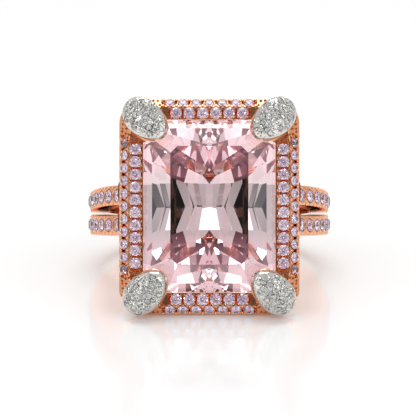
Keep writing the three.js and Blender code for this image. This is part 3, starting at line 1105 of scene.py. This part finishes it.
    def frame_shell(self, rng: np.random.Generator) -> Shell:
        """Sweeps the section round the outlines, cuts the seats and raises the beads.

        Args:
            rng: Source of the beads' small differences.

        Returns:
            The frame with its beads.
        """
        inner, outer = self.outlines()
        profile = self.profile()
        share = profile[None, :, :1]
        flat = inner[:, None] * (1 - share) + outer[:, None] * share
        height = np.broadcast_to(profile[None, :, 1:], flat[..., :1].shape)
        rings = np.concatenate([flat, height], -1)
        points = rings.reshape(-1, 3)
        above_wall = 0.02
        top = points[:, 2] > HALO_TOP_Z - HALO_BEVEL_DOWN + above_wall
        beads = []
        for _, inner_row, outer_row in self.rows():
            for row in (inner_row, outer_row):
                points[top] = row.seat(points[top])
                beads.append(row.beads(bead(), rng, self.bead_size))
        body = closed_loop(points.reshape(rings.shape))
        return joined([body, *beads, self.corner_beads(rng)])

    def build(self, bench: Bench, finishes: Finishes, rng: np.random.Generator) -> None:
        """Makes the frame, the inner stones one by one, and the outer ones side by side.

        Args:
            bench: Where the pieces are made.
            finishes: The ring's materials.
            rng: Source of small differences.
        """
        bench.make("halo_pave_frame", self.frame_shell(rng), finishes.rose, ["halo_frame"], 38)
        stone = round_brilliant()
        for name, inner_row, outer_row in self.rows():
            row = inner_row.stones(stone, rng)
            for number, points in enumerate(np.split(row.points, len(inner_row.centres)), 1):
                node = f"halo_stone_{name}_{number}"
                single = Shell(points, stone.faces)
                bench.make(f"brilliant_{name}_{number}", single, finishes.pink, [node])
            bench.make(
                f"slope_brilliants_{name}", outer_row.stones(stone, rng), finishes.pink,
                [f"slope_stones_{name}"],
            )


# ---------- petals ----------


@dataclass
class Petal:
    """One domed petal prong: a white gold body with a polished rim, full of tiny stones.

    `paved` is the share of the way to the rim that the stones and beads keep within.
    """

    name: str
    signs: tuple[int, int]
    rim: float = 0.42
    dome: float = 0.86
    tuck: float = 0.1
    paved: float = 0.93
    flatness: float = 2.6
    fullness: float = 0.62
    around: int = 132
    dome_rings: int = 40
    stones: int = 27
    stone_radius: float = 0.275
    bead_radius: float = 0.085
    bead_tries: int = 1500

    def basis(self) -> tuple[np.ndarray, np.ndarray, float]:
        """Finds the petal's own frame.

        Returns:
            Its inner tip, its axes (along, across, up) as rows, and its length.
        """
        mirror = np.array([*self.signs, 1.0])
        tips = np.array([PETAL_INNER, PETAL_OUTER]) - (self.tuck, self.tuck, 0)
        inner, outer = tips * mirror
        along = unit(outer - inner)
        across = unit(np.cross((0, 0, 1), along))
        axes = np.stack([along, across, np.cross(along, across)])
        return inner, axes, float(np.linalg.norm(outer - inner))

    def surface(self, radius: np.ndarray, angle: np.ndarray, length: float) -> np.ndarray:
        """The domed top: an egg outline drawn in towards its middle and raised.

        At share r of the way out the height is rim + dome (1 - r^flatness)^fullness.

        Args:
            radius: Share of the way from the middle to the rim.
            angle: Direction, 0 towards the inner tip.
            length: The petal's length.

        Returns:
            Points in the petal's own frame.
        """
        swell = 1 - PETAL_SWELL * np.cos(angle)
        x = length / 2 * (1 - radius * np.cos(angle))
        y = -PETAL_HALF_WIDTH * radius * np.sin(angle) * swell
        z = self.rim + self.dome * np.clip(1 - radius ** self.flatness, 0, 1) ** self.fullness
        return np.stack(np.broadcast_arrays(x, y, z), -1)

    def spiral(self, length: float) -> tuple[np.ndarray, np.ndarray]:
        """Packs the stones along a sunflower spiral, each a golden angle on from the last.

        Args:
            length: The petal's length.

        Returns:
            The stones' middles and directions, in the petal's own frame.
        """
        outermost = 0.87
        golden_angle = math.radians(137.508)
        start = (self.signs[0] + 2 * self.signs[1]) * 0.7
        number = np.arange(self.stones)
        radius = outermost * np.sqrt((number + 0.45) / self.stones)
        angle = number * golden_angle + start
        middles = self.surface(radius, angle, length)
        small = 1e-3
        outwards = self.surface(radius + small, angle, length) - middles
        sideways = self.surface(radius, angle + small, length) - middles
        ups = unit(np.cross(outwards, sideways))
        return middles, ups * np.sign(ups[:, 2:])

    def body(self, length: float, rng: np.random.Generator) -> Shell:
        """Makes the metal: a dome with seats, an upright rim, a flat underside and beads.

        Args:
            length: The petal's length.
            rng: Source of the beads' places.

        Returns:
            The body in the petal's own frame.
        """
        around = np.arange(self.around) * 2 * np.pi / self.around
        shares = np.concatenate([np.linspace(0.02, self.paved, self.dome_rings), [0.955, 0.98, 0.995, 1.0]])
        dome = self.surface(shares[:, None], around[None], length)
        middles, ups = self.spiral(length)
        sunk = sink_seats(dome.reshape(-1, 3), middles, ups, self.stone_radius * 1.1, self.stone_radius)
        rim = self.surface(np.array(1.0), around, length)
        wall = np.stack([rim * (1, 1, height) for height in (0.93, 0.5, 0.08, 0.0)])
        foot = self.surface(np.array(0.94), around, length) * (1, 1, 0)
        rings = np.concatenate([sunk.reshape(dome.shape), wall, foot[None]])
        radius = self.paved * np.sqrt(rng.uniform(0, 1, self.bead_tries))
        tries = self.surface(radius, rng.uniform(0, 2 * np.pi, self.bead_tries), length)
        free = np.linalg.norm(tries[:, None] - middles[None], axis=2).min(1) > self.stone_radius * 0.93
        places = tries[free]
        places = places[spaced(places, self.bead_radius * 2.1)]
        sideways = np.broadcast_to((1.0, 0.3, 0.1), places.shape)
        nearest = np.linalg.norm(places[:, None] - middles[None], axis=2).argmin(1)
        sizes = np.full(places.shape, self.bead_radius) * rng.uniform(0.8, 1.2, (len(places), 1))
        beads = repeated(bead(), places, ups[nearest], sizes, sideways)
        return joined([capped_tube(rings), beads])

    def build(self, bench: Bench, finishes: Finishes, rng: np.random.Generator) -> None:
        """Makes the body and its stones.

        Args:
            bench: Where the pieces are made.
            finishes: The ring's materials.
            rng: Source of small differences.
        """
        inner, axes, length = self.basis()
        body = self.body(length, rng)
        metal = Shell(inner + body.points @ axes, body.faces)
        bench.make(f"pave_petal_{self.name}", metal, finishes.white, [f"petal_{self.name}"], 40)
        middles, ups = self.spiral(length)
        tilt = rng.normal(0, 0.10, ups.shape)
        sizes = np.full(ups.shape, self.stone_radius) * rng.uniform(0.9, 1.06, (len(ups), 1))
        alongs = rng.normal(0, 1, ups.shape)
        stones = repeated(round_brilliant(), middles + ups * 0.02, unit(ups + tilt), sizes, alongs)
        placed = Shell(inner + stones.points @ axes, stones.faces)
        bench.make(f"petal_brilliants_{self.name}", placed, finishes.clear, [])


# ---------- claws ----------


@dataclass
class Claw:
    """A rose gold claw: a round post from the base rail, and a faceted lip over the stone."""

    name: str
    signs: tuple[int, int]
    radius: float = 0.42
    lip_reach: float = 0.12
    lip_drop: float = 0.40
    lip_thickness: float = 0.42
    facets: int = 13

    def post(self) -> Shell:
        """Sweeps a round section along the claw's middle line.

        Returns:
            The post; its middle line is a smooth curve through five points.
        """
        knots = np.array([
            (3.95, 5.55, 9.0), (4.75, 6.4, 11.7), (5.32, 7.0, 13.9), (5.15, 6.84, 15.1), (4.75, 6.44, 15.7),
        ]) * (*self.signs, 1)
        return tube(smooth_curve(knots, 24), self.radius, 14)

    def lip(self) -> Shell:
        """Cuts the lip: the petal's egg outline moved towards the stone, with flat facets.

        Returns:
            The lip, as rings that spread and draw in again from its foot up.
        """
        petal = Petal(self.name, self.signs)
        inner, axes, length = petal.basis()
        angle = (np.arange(self.facets) + 0.5) * 2 * np.pi / self.facets
        spread = np.array([0.76, 0.92, 0.96, 0.90])[:, None]
        rings = petal.surface(spread, angle, length * 0.8)
        rings[..., 2] = np.array([0.0, 0.12, 0.30, self.lip_thickness])[:, None]
        return capped_tube(inner + (rings - (self.lip_reach, 0, self.lip_drop)) @ axes)

    def build(self, bench: Bench, finishes: Finishes) -> None:
        """Makes the claw."""
        shell = joined([self.post(), self.lip()])
        bench.make(f"polished_claw_{self.name}", shell, finishes.rose, [f"claw_{self.name}"], 30)


def smooth_curve(knots: np.ndarray, per_span: int) -> np.ndarray:
    """Runs a Catmull-Rom curve through knots.

    Between two knots the curve is the cubic whose slope at each is half the step between
    that knot's neighbours.

    Args:
        knots: The points to pass, in order.
        per_span: How many points to give for each span.

    Returns:
        Points on the curve.
    """
    ends = np.concatenate([[2 * knots[0] - knots[1]], knots, [2 * knots[-1] - knots[-2]]])
    t = np.linspace(0, 1, per_span, endpoint=False)[:, None]
    spans = []
    for before, start, stop, after in zip(ends, ends[1:], ends[2:], ends[3:]):
        slope_in, slope_out = (stop - before) / 2, (after - start) / 2
        spans.append(
            (2 * t**3 - 3 * t**2 + 1) * start + (t**3 - 2 * t**2 + t) * slope_in
            + (3 * t**2 - 2 * t**3) * stop + (t**3 - t**2) * slope_out
        )
    return np.concatenate([*spans, knots[-1:]])


def tube(line: np.ndarray, radius: float, sides: int) -> Shell:
    """Sweeps a circle along a line that never runs along X.

    Args:
        line: Points of the middle line.
        radius: The circle's radius.
        sides: How many points the circle has.

    Returns:
        The closed tube.
    """
    forward = unit(np.gradient(line, axis=0))
    first = unit(np.cross(forward, (1.0, 0.0, 0.0)))
    second = np.cross(forward, first)
    angle = np.arange(sides) * 2 * np.pi / sides
    spokes = np.cos(angle)[:, None] * first[:, None] + np.sin(angle)[:, None] * second[:, None]
    return capped_tube(line[:, None] + radius * spokes)


# ---------- rails ----------


def round_rectangle(half_x: float, half_y: float, radius: float, per_corner: int) -> np.ndarray:
    """Outlines a rectangle with round corners.

    Args:
        half_x: Half its width.
        half_y: Half its length.
        radius: Its corners' radius.
        per_corner: Points in each corner.

    Returns:
        Points (x, y), anticlockwise.
    """
    arc = np.radians(np.linspace(0, 90, per_corner))
    corners = []
    for quarter, (sx, sy) in enumerate(((1, 1), (-1, 1), (-1, -1), (1, -1))):
        angle = arc + quarter * np.pi / 2
        middle = np.array([sx * (half_x - radius), sy * (half_y - radius)])
        corners.append(middle + radius * np.stack([np.cos(angle), np.sin(angle)], -1))
    return np.concatenate(corners)


@dataclass
class Rail:
    """A rounded frame of metal round the stone's pavilion."""

    name: str
    node: str
    half: tuple[float, float]
    corner: float
    width: float
    bottom: float
    top: float
    follows_bore: bool = False
    softness: float = 0.09
    per_corner: int = 12
    per_step: int = 6

    def shell(self) -> Shell:
        """Sweeps a soft-cornered section round the rail's outline.

        Returns:
            The rail; where it lies on the finger its underside keeps to the bore.
        """
        corners = round_rectangle(*self.half, self.corner, self.per_corner)
        following = np.roll(corners, -1, 0)
        outer = np.linspace(corners, following, self.per_step, endpoint=False, axis=1).reshape(-1, 2)
        inner = outer * (1 - self.width / np.array(self.half))
        low, high = self.softness, 1 - self.softness
        section = np.array([
            (low, 0), (high, 0), (1, low), (1, high), (high, 1), (low, 1), (0, high), (0, low),
        ])
        across, up = section[:, :1], section[:, 1]
        flat = inner[:, None] * (1 - across) + outer[:, None] * across
        bottom = np.full(flat.shape[:2], self.bottom)
        if self.follows_bore:
            bottom = np.sqrt((FINGER_RADIUS + BORE_CLEARANCE) ** 2 - flat[..., 0] ** 2)
        height = bottom + (self.top - bottom) * up
        return closed_loop(np.concatenate([flat, height[..., None]], -1))

    def build(self, bench: Bench, finishes: Finishes) -> None:
        """Makes the rail."""
        bench.make(self.name, self.shell(), finishes.rose, [self.node], 40)


# ---------- shank ----------


def on_circle(side: Side, degrees: np.ndarray, radius: float, y: np.ndarray | float) -> np.ndarray:
    """Gives points on a circle round the finger.

    Args:
        side: The side towards which the angles grow.
        degrees: Angles counted from the head.
        radius: The circle's radius.
        y: Places along the finger.

    Returns:
        The points.
    """
    angle = np.radians(degrees)
    x, z = side.value * np.sin(angle) * radius, np.cos(angle) * radius
    return np.stack(np.broadcast_arrays(x, y, z), -1)


def strand_offset(degrees: np.ndarray) -> np.ndarray:
    """Eases the strands apart between the side and the shoulder.

    The share s of the way becomes 3 s^2 - 2 s^3, which starts and stops level.

    Args:
        degrees: Angles counted from the head.

    Returns:
        A strand's distance from the shank's middle at each angle.
    """
    share = np.clip((SPREAD_ANGLE - degrees) / (SPREAD_ANGLE - SHOULDER_ANGLE), 0, 1)
    share = share * share * (3 - 2 * share)
    return (STRAND_WIDTH + STRAND_GAP_BAND + (STRAND_GAP_HEAD - STRAND_GAP_BAND) * share) / 2


def swept(line: np.ndarray, outside: np.ndarray, section: np.ndarray) -> np.ndarray:
    """Carries a section along a line.

    Args:
        line: The middle line's points.
        outside: At each of them roughly the direction away from the finger.
        section: Points (along the finger, away from it).

    Returns:
        Rings of points as (point of the line, point of the section, xyz).
    """
    forward = unit(np.gradient(line, axis=0))
    out = unit(outside - forward * np.einsum("ij,ij->i", outside, forward)[:, None])
    wide = np.cross(out, forward)
    wide = wide * np.sign(wide[:, 1:2])
    return line[:, None] + section[None, :, :1] * wide[:, None] + section[None, :, 1:] * out[:, None]


@dataclass
class Strand:
    """One of the shank's four strands, with its own row of stones between beaded edges.

    `sunk` is how far the stones' middles, and `grain_sunk` the grains', lie under the
    shank's outside.
    """

    side: Side
    end: End
    line_points: tuple[int, int] = (170, 60)
    start_handle: float = 2.0
    top_handle: float = 4.0
    top_gap: float = 0.05
    softness: float = 0.16
    crown_points: int = 26
    crown_sunk: float = 0.05
    crown_drop: float = 0.07
    stones: int = 11
    first_angle: float = 121.0
    last_angle: float = 50.0
    stone_radius: float = 0.57
    sunk: float = 0.09
    lift: float = 0.04
    grain: float = 0.14
    grain_sunk: float = 0.16
    grain_inset: float = 0.17

    def round_finger(self, degrees: np.ndarray, radius: float, y: np.ndarray | float = 0.0) -> np.ndarray:
        """Points on a circle round the finger, on this strand's side."""
        return on_circle(self.side, degrees, radius, y)

    def line(self) -> tuple[np.ndarray, np.ndarray]:
        """The strand's middle line: round the circle, then up to the halo as a cubic curve.

        Returns:
            The line's points and, at each, the direction away from the finger.
        """
        radius = FINGER_RADIUS + SHANK_THICKNESS / 2
        round_points, rise_points = self.line_points
        degrees = np.linspace(BAND_END_ANGLE, SHOULDER_ANGLE, round_points)
        arc = self.round_finger(degrees, radius, self.end.value * strand_offset(degrees))
        arc_out = self.round_finger(degrees, 1.0)
        start = arc[-1]
        heading = unit(arc[-1] - arc[-2])
        top_z = HALO_TOP_Z - 2 * HALO_BEVEL_DOWN - HALO_WALL - self.top_gap
        top = np.array([self.side.value * SHOULDER_X, start[1], top_z])
        handles = np.stack([start, start + heading * self.start_handle, top - (0, 0, self.top_handle), top])
        t = np.linspace(0, 1, rise_points)[1:, None]
        weights = np.concatenate([(1 - t) ** 3, 3 * t * (1 - t) ** 2, 3 * t ** 2 * (1 - t), t ** 3], 1)
        rise = weights @ handles
        share = np.clip(t * 2, 0, 1)
        rise_out = unit(arc_out[-1] * (1 - share) + np.array([self.side.value, 0, 0]) * share)
        return np.concatenate([arc, rise]), np.concatenate([arc_out, rise_out])

    def section(self) -> np.ndarray:
        """A rounded bar with a gently crowned outside, which drops with the square of the way out.

        Returns:
            Points (along the finger, away from it), clockwise from the crown's start.
        """
        wide, thick, soft = STRAND_WIDTH / 2, SHANK_THICKNESS / 2, self.softness
        w = np.linspace(-wide + soft, wide - soft, self.crown_points)
        crown = np.stack([w, thick - self.crown_sunk - self.crown_drop * (w / wide) ** 2], -1)
        right = np.array([
            (wide - soft * 0.4, thick - soft * 0.9), (wide, thick - soft * 1.9), (wide, 0),
            (wide, -thick + soft), (wide - soft, -thick),
        ])
        return np.concatenate([crown, right, [(0, -thick)], right[::-1] * (-1, 1)])

    def seats(self) -> tuple[np.ndarray, np.ndarray, np.ndarray]:
        """Where the stones sit.

        Returns:
            Their middles, their directions, and their angles round the shank.
        """
        degrees = np.linspace(self.first_angle, self.last_angle, self.stones)
        outer = FINGER_RADIUS + SHANK_THICKNESS - self.sunk
        middles = self.round_finger(degrees, outer, self.end.value * strand_offset(degrees))
        return middles, self.round_finger(degrees, 1.0), degrees

    def grains(self, rng: np.random.Generator) -> Shell:
        """Raises slanted grains of metal along both edges of the row.

        Args:
            rng: Source of small differences.

        Returns:
            The grains.
        """
        pitch = (self.first_angle - self.last_angle) / (self.stones - 1)
        degrees = np.arange(self.last_angle - pitch / 2, self.first_angle + pitch, pitch / 2)
        outer = FINGER_RADIUS + SHANK_THICKNESS - self.grain_sunk
        out = self.round_finger(degrees, 1.0)
        sideways = self.round_finger(degrees + 90, 1.0)
        shells = []
        for edge in (-1, 1):
            y = self.end.value * strand_offset(degrees) + edge * (STRAND_WIDTH / 2 - self.grain_inset)
            places = self.round_finger(degrees, outer, y)
            slant = unit(sideways * 0.8 + np.array([0, 1.0, 0]) * edge * 0.9)
            ups = unit(out + np.array([0, 0.55, 0]) * edge)
            sizes = np.tile((self.grain * 1.35, self.grain * 0.8, self.grain), (len(places), 1))
            sizes = sizes * rng.uniform(0.88, 1.12, (len(places), 1))
            shells.append(repeated(bead(), places, ups, sizes, slant))
        return joined(shells)

    def build(self, bench: Bench, finishes: Finishes, rng: np.random.Generator) -> None:
        """Makes the strand and its stones.

        Args:
            bench: Where the pieces are made.
            finishes: The ring's materials.
            rng: Source of small differences.
        """
        name = f"{self.side.name}_{self.end.name}".lower()
        line, outside = self.line()
        rings = swept(line, outside, self.section())
        middles, ups, degrees = self.seats()
        points = rings.reshape(-1, 3)
        sunk = sink_seats(points, middles, ups, self.stone_radius * 1.05, self.stone_radius, 0.4)
        metal = joined([capped_tube(sunk.reshape(rings.shape)), self.grains(rng)])
        bench.make(f"pave_strand_{name}", metal, finishes.rose, [f"strand_{name}"], 40)
        sizes = np.full(ups.shape, self.stone_radius * 0.97)
        alongs = self.round_finger(degrees + 90, 1.0) + rng.normal(0, 0.2, ups.shape)
        stones = repeated(round_brilliant(), middles + ups * self.lift, ups, sizes, alongs)
        node = f"strand_stones_{name}"
        bench.make(f"strand_brilliants_{name}", stones, finishes.pink, [node])


@dataclass
class BackBand:
    """The plain polished band at the palm, a hair short of the strands' ends."""

    softness: float = 0.35
    inside_softness: float = 0.12
    end_gap: float = 0.03
    steps: int = 90

    def shell(self) -> Shell:
        """Sweeps a band with a crowned outside and softened edges round the palm.

        Returns:
            The band.
        """
        end = BAND_END_ANGLE + math.degrees(self.end_gap / (FINGER_RADIUS + SHANK_THICKNESS / 2))
        degrees = np.linspace(end, 360 - end, self.steps)
        line = on_circle(Side.RIGHT, degrees, FINGER_RADIUS + SHANK_THICKNESS / 2, 0.0)
        outside = on_circle(Side.RIGHT, degrees, 1.0, 0.0)
        wide = STRAND_WIDTH + STRAND_GAP_BAND / 2
        thick, soft = SHANK_THICKNESS / 2, self.softness
        arc = np.radians(np.linspace(0, 90, 7))
        right = np.stack([wide - soft + soft * np.cos(arc), thick - soft + soft * np.sin(arc)], -1)
        inside = np.array([(-wide, self.inside_softness - thick), (self.inside_softness - wide, -thick)])
        section = np.concatenate([right, right[::-1] * (-1, 1), inside, inside[::-1] * (-1, 1)])
        return capped_tube(swept(line, outside, section))

    def build(self, bench: Bench, finishes: Finishes) -> None:
        """Makes the band."""
        bench.make("polished_back_band", self.shell(), finishes.rose, ["back_band"], 40)


# ---------- studio ----------


@dataclass(frozen=True)
class Opening:
    """A round opening in the tent: where it lies, its radius in degrees, and its light."""

    turn: float
    lift: float
    radius: float
    light: float = 0.0


@dataclass(frozen=True)
class Softbox:
    """A rectangular light: where it hangs, its width and height, and its power in watts."""

    place: tuple[float, float, float]
    size: tuple[float, float]
    power: float


@dataclass
class Studio:
    """The white table, the lights and the camera, in metres.

    `lean` is how many degrees the camera stands below the head's own direction, and `aim`
    the millimetres by which it looks past the middle of the stone. The side light and the
    spark hang on both sides. The tent's light grows from `tent_light[0]` to `tent_light[1]`
    as a direction's height goes from `tent_rise[0]` to `tent_rise[1]`.
    """

    ring: RingPlace
    lean: float = 2.4
    aim: tuple[float, float] = (-0.11, -0.15)
    top_light: Softbox = Softbox((0.0, 0.15, 0.6), (0.4, 0.4), 1.4)
    side_light: Softbox = Softbox((0.36, -0.36, 0.22), (0.24, 0.40), 0.38)
    spark: Softbox = Softbox((0.16, -0.36, 0.32), (0.03, 0.03), 0.05)
    lit_height: float = 0.008
    tent_rise: tuple[float, float] = (-0.2, 0.9)
    tent_light: tuple[float, float] = (0.78, 0.94)
    openings: tuple[Opening, ...] = (Opening(-18, 0, 6.5), Opening(18, 0, 6.5), Opening(0, 1, 5.5, 0.12))
    opening_edge: float = 1.5
    distance: float = 0.300
    lens: float = 312.0
    table_half: float = 3.0
    table_tone: float = 0.90
    table_light: float = 0.11

    def floor(self) -> None:
        """Lays a white glossy table under the ring."""
        mesh = bpy.data.meshes.new("table_top")
        corners = np.array([(-1, -1, 0), (1, -1, 0), (1, 1, 0), (-1, 1, 0)]) * self.table_half
        mesh.from_pydata(corners, [], [(0, 1, 2, 3)])
        material, shader = new_material("white_gloss_table")
        tree = material.node_tree
        place = add_node(tree, "TexCoord").outputs["Object"]
        noise = add_node(tree, "TexNoise", {"Vector": place, "Scale": 300}).outputs["Fac"]
        rough = add_node(tree, "MapRange", {"Value": noise, "To Min": 0.09, "To Max": 0.13})
        tree.links.new(rough.outputs["Result"], shader.inputs["Roughness"])
        shader.inputs["Base Color"].default_value = (self.table_tone, self.table_tone, self.table_tone, 1)
        shader.inputs["IOR"].default_value = 1.6
        shader.inputs["Emission Color"].default_value = (1, 1, 1, 1)
        shader.inputs["Emission Strength"].default_value = self.table_light
        mesh.materials.append(material)
        table = bpy.data.objects.new("table_top", mesh)
        bpy.context.scene.collection.objects.link(table)

    def world(self) -> None:
        """Surrounds the ring with a white tent that has a few dark openings near the viewer.

        An opening's darkness is a ramp of the dot product between the ray and the
        opening's direction; the tent is also a little darker towards the table. Seen
        straight from the camera it is plain white.
        """
        world = bpy.data.worlds.new("white_tent")
        bpy.context.scene.world = world
        world.use_nodes = True
        tree = world.node_tree
        tree.nodes.clear()
        ray = add_node(tree, "TexCoord").outputs["Generated"]
        rise = add_node(tree, "SeparateXYZ", {"Vector": ray}).outputs["Z"]
        tent = add_node(tree, "MapRange", {
            "Value": rise,
            "From Min": self.tent_rise[0],
            "From Max": self.tent_rise[1],
            "To Min": self.tent_light[0],
            "To Max": self.tent_light[1],
        })
        level = tent.outputs["Result"]
        for opening in self.openings:
            middle = tuple(self.head_direction(opening.turn, opening.lift))
            spot = add_node(tree, "VectorMath", {0: ray, 1: middle}, operation="DOT_PRODUCT")
            shade = add_node(tree, "MapRange", {
                "Value": spot.outputs["Value"],
                "From Min": math.cos(math.radians(opening.radius)),
                "From Max": math.cos(math.radians(opening.radius + self.opening_edge)),
                "To Min": opening.light,
                "To Max": 1.0,
            })
            level = add_node(
                tree, "Math", {0: level, 1: shade.outputs["Result"]}, operation="MULTIPLY").outputs[0]
        camera_ray = add_node(tree, "LightPath").outputs["Is Camera Ray"]
        seen = add_node(tree, "Math", {0: level, 1: camera_ray}, operation="MAXIMUM")
        background = add_node(tree, "Background", {"Strength": seen.outputs[0]})
        add_node(tree, "OutputWorld", {"Surface": background.outputs["Background"]})

    def head_direction(self, turn: float, lift: float) -> np.ndarray:
        """A direction near the head's own, in the row's frame.

        Args:
            turn: Degrees to the right.
            lift: Degrees towards the fingertip.

        Returns:
            The direction.
        """
        a, b = math.radians(turn), math.radians(lift)
        return np.array([math.sin(a) * math.cos(b), math.sin(b), math.cos(a) * math.cos(b)]) @ self.ring.axes

    def hang(self, name: str, box: Softbox, side: Side = Side.RIGHT) -> None:
        """Hangs a light that faces the ring.

        Args:
            name: The light's name.
            box: The light, as it hangs on the right.
            side: The side on which to hang it.
        """
        light = bpy.data.lights.new(name, "AREA")
        light.shape = "RECTANGLE"
        light.size, light.size_y = box.size
        light.energy = box.power
        lamp = bpy.data.objects.new(name, light)
        place = np.array(box.place) * (side.value, 1, 1)
        lamp.matrix_world = look_matrix(place, np.array([0, 0, self.lit_height]) - place)
        bpy.context.scene.collection.objects.link(lamp)

    def view_direction(self) -> np.ndarray:
        """Finds the direction from the ring to the camera, a little below the head's own.

        Returns:
            The direction, in the row's frame.
        """
        lay_back = math.atan2(self.ring.axes[2][2], -self.ring.axes[2][1])
        elevation = lay_back - math.radians(self.lean)
        return np.array([0.0, -math.cos(elevation), math.sin(elevation)])

    def camera(self) -> None:
        """Places the camera in front of the head, with a long lens."""
        data = bpy.data.cameras.new("view")
        data.lens = self.lens
        data.clip_start = 0.01
        camera = bpy.data.objects.new("view", data)
        aim = self.ring.place(np.array([*self.aim, GIRDLE_Z]))
        out = self.view_direction()
        camera.matrix_world = look_matrix(aim + out * self.distance, -out)
        bpy.context.scene.collection.objects.link(camera)
        bpy.context.scene.camera = camera

    def build(self) -> None:
        """Sets up the whole studio."""
        self.camera()
        self.floor()
        self.world()
        self.hang("top_light", self.top_light)
        for kind, box in (("light", self.side_light), ("spark", self.spark)):
            for side in Side:
                self.hang(f"{side.name.lower()}_{kind}", box, side)
        bpy.context.scene.view_settings.view_transform = "Standard"


def look_matrix(place: np.ndarray, direction: np.ndarray) -> Matrix:
    """Aims a lamp or a camera.

    Args:
        place: Where it is.
        direction: Where it looks.

    Returns:
        Its world matrix.
    """
    turn = Vector(direction).to_track_quat("-Z", "Y").to_matrix().to_4x4()
    return Matrix.Translation(Vector(place)) @ turn


def main() -> None:
    """Builds the studio and every piece of the ring."""
    logging.basicConfig(level=logging.INFO)
    rng = np.random.default_rng(SEED)
    ring = RingPlace.from_record(frame["record"])
    Studio(ring).build()
    bench = Bench(ring)
    finishes = Finishes.build()
    CentreStone().build(bench, finishes)
    Halo().build(bench, finishes, rng)
    for name, signs in CORNERS.items():
        Petal(name, signs).build(bench, finishes, rng)
        Claw(name, signs).build(bench, finishes)
    Rail("polished_gallery_rail", "gallery_rail", (5.45, 7.1), 1.4, 0.75, 11.35, 12.05).build(bench, finishes)
    Rail("polished_base_rail", "base_rail", (4.7, 6.3), 1.2, 1.1, 0.0, 9.75, True).build(bench, finishes)
    for side in Side:
        for end in End:
            Strand(side, end).build(bench, finishes, rng)
    BackBand().build(bench, finishes)
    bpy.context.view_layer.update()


if __name__ == "__main__":
    main()
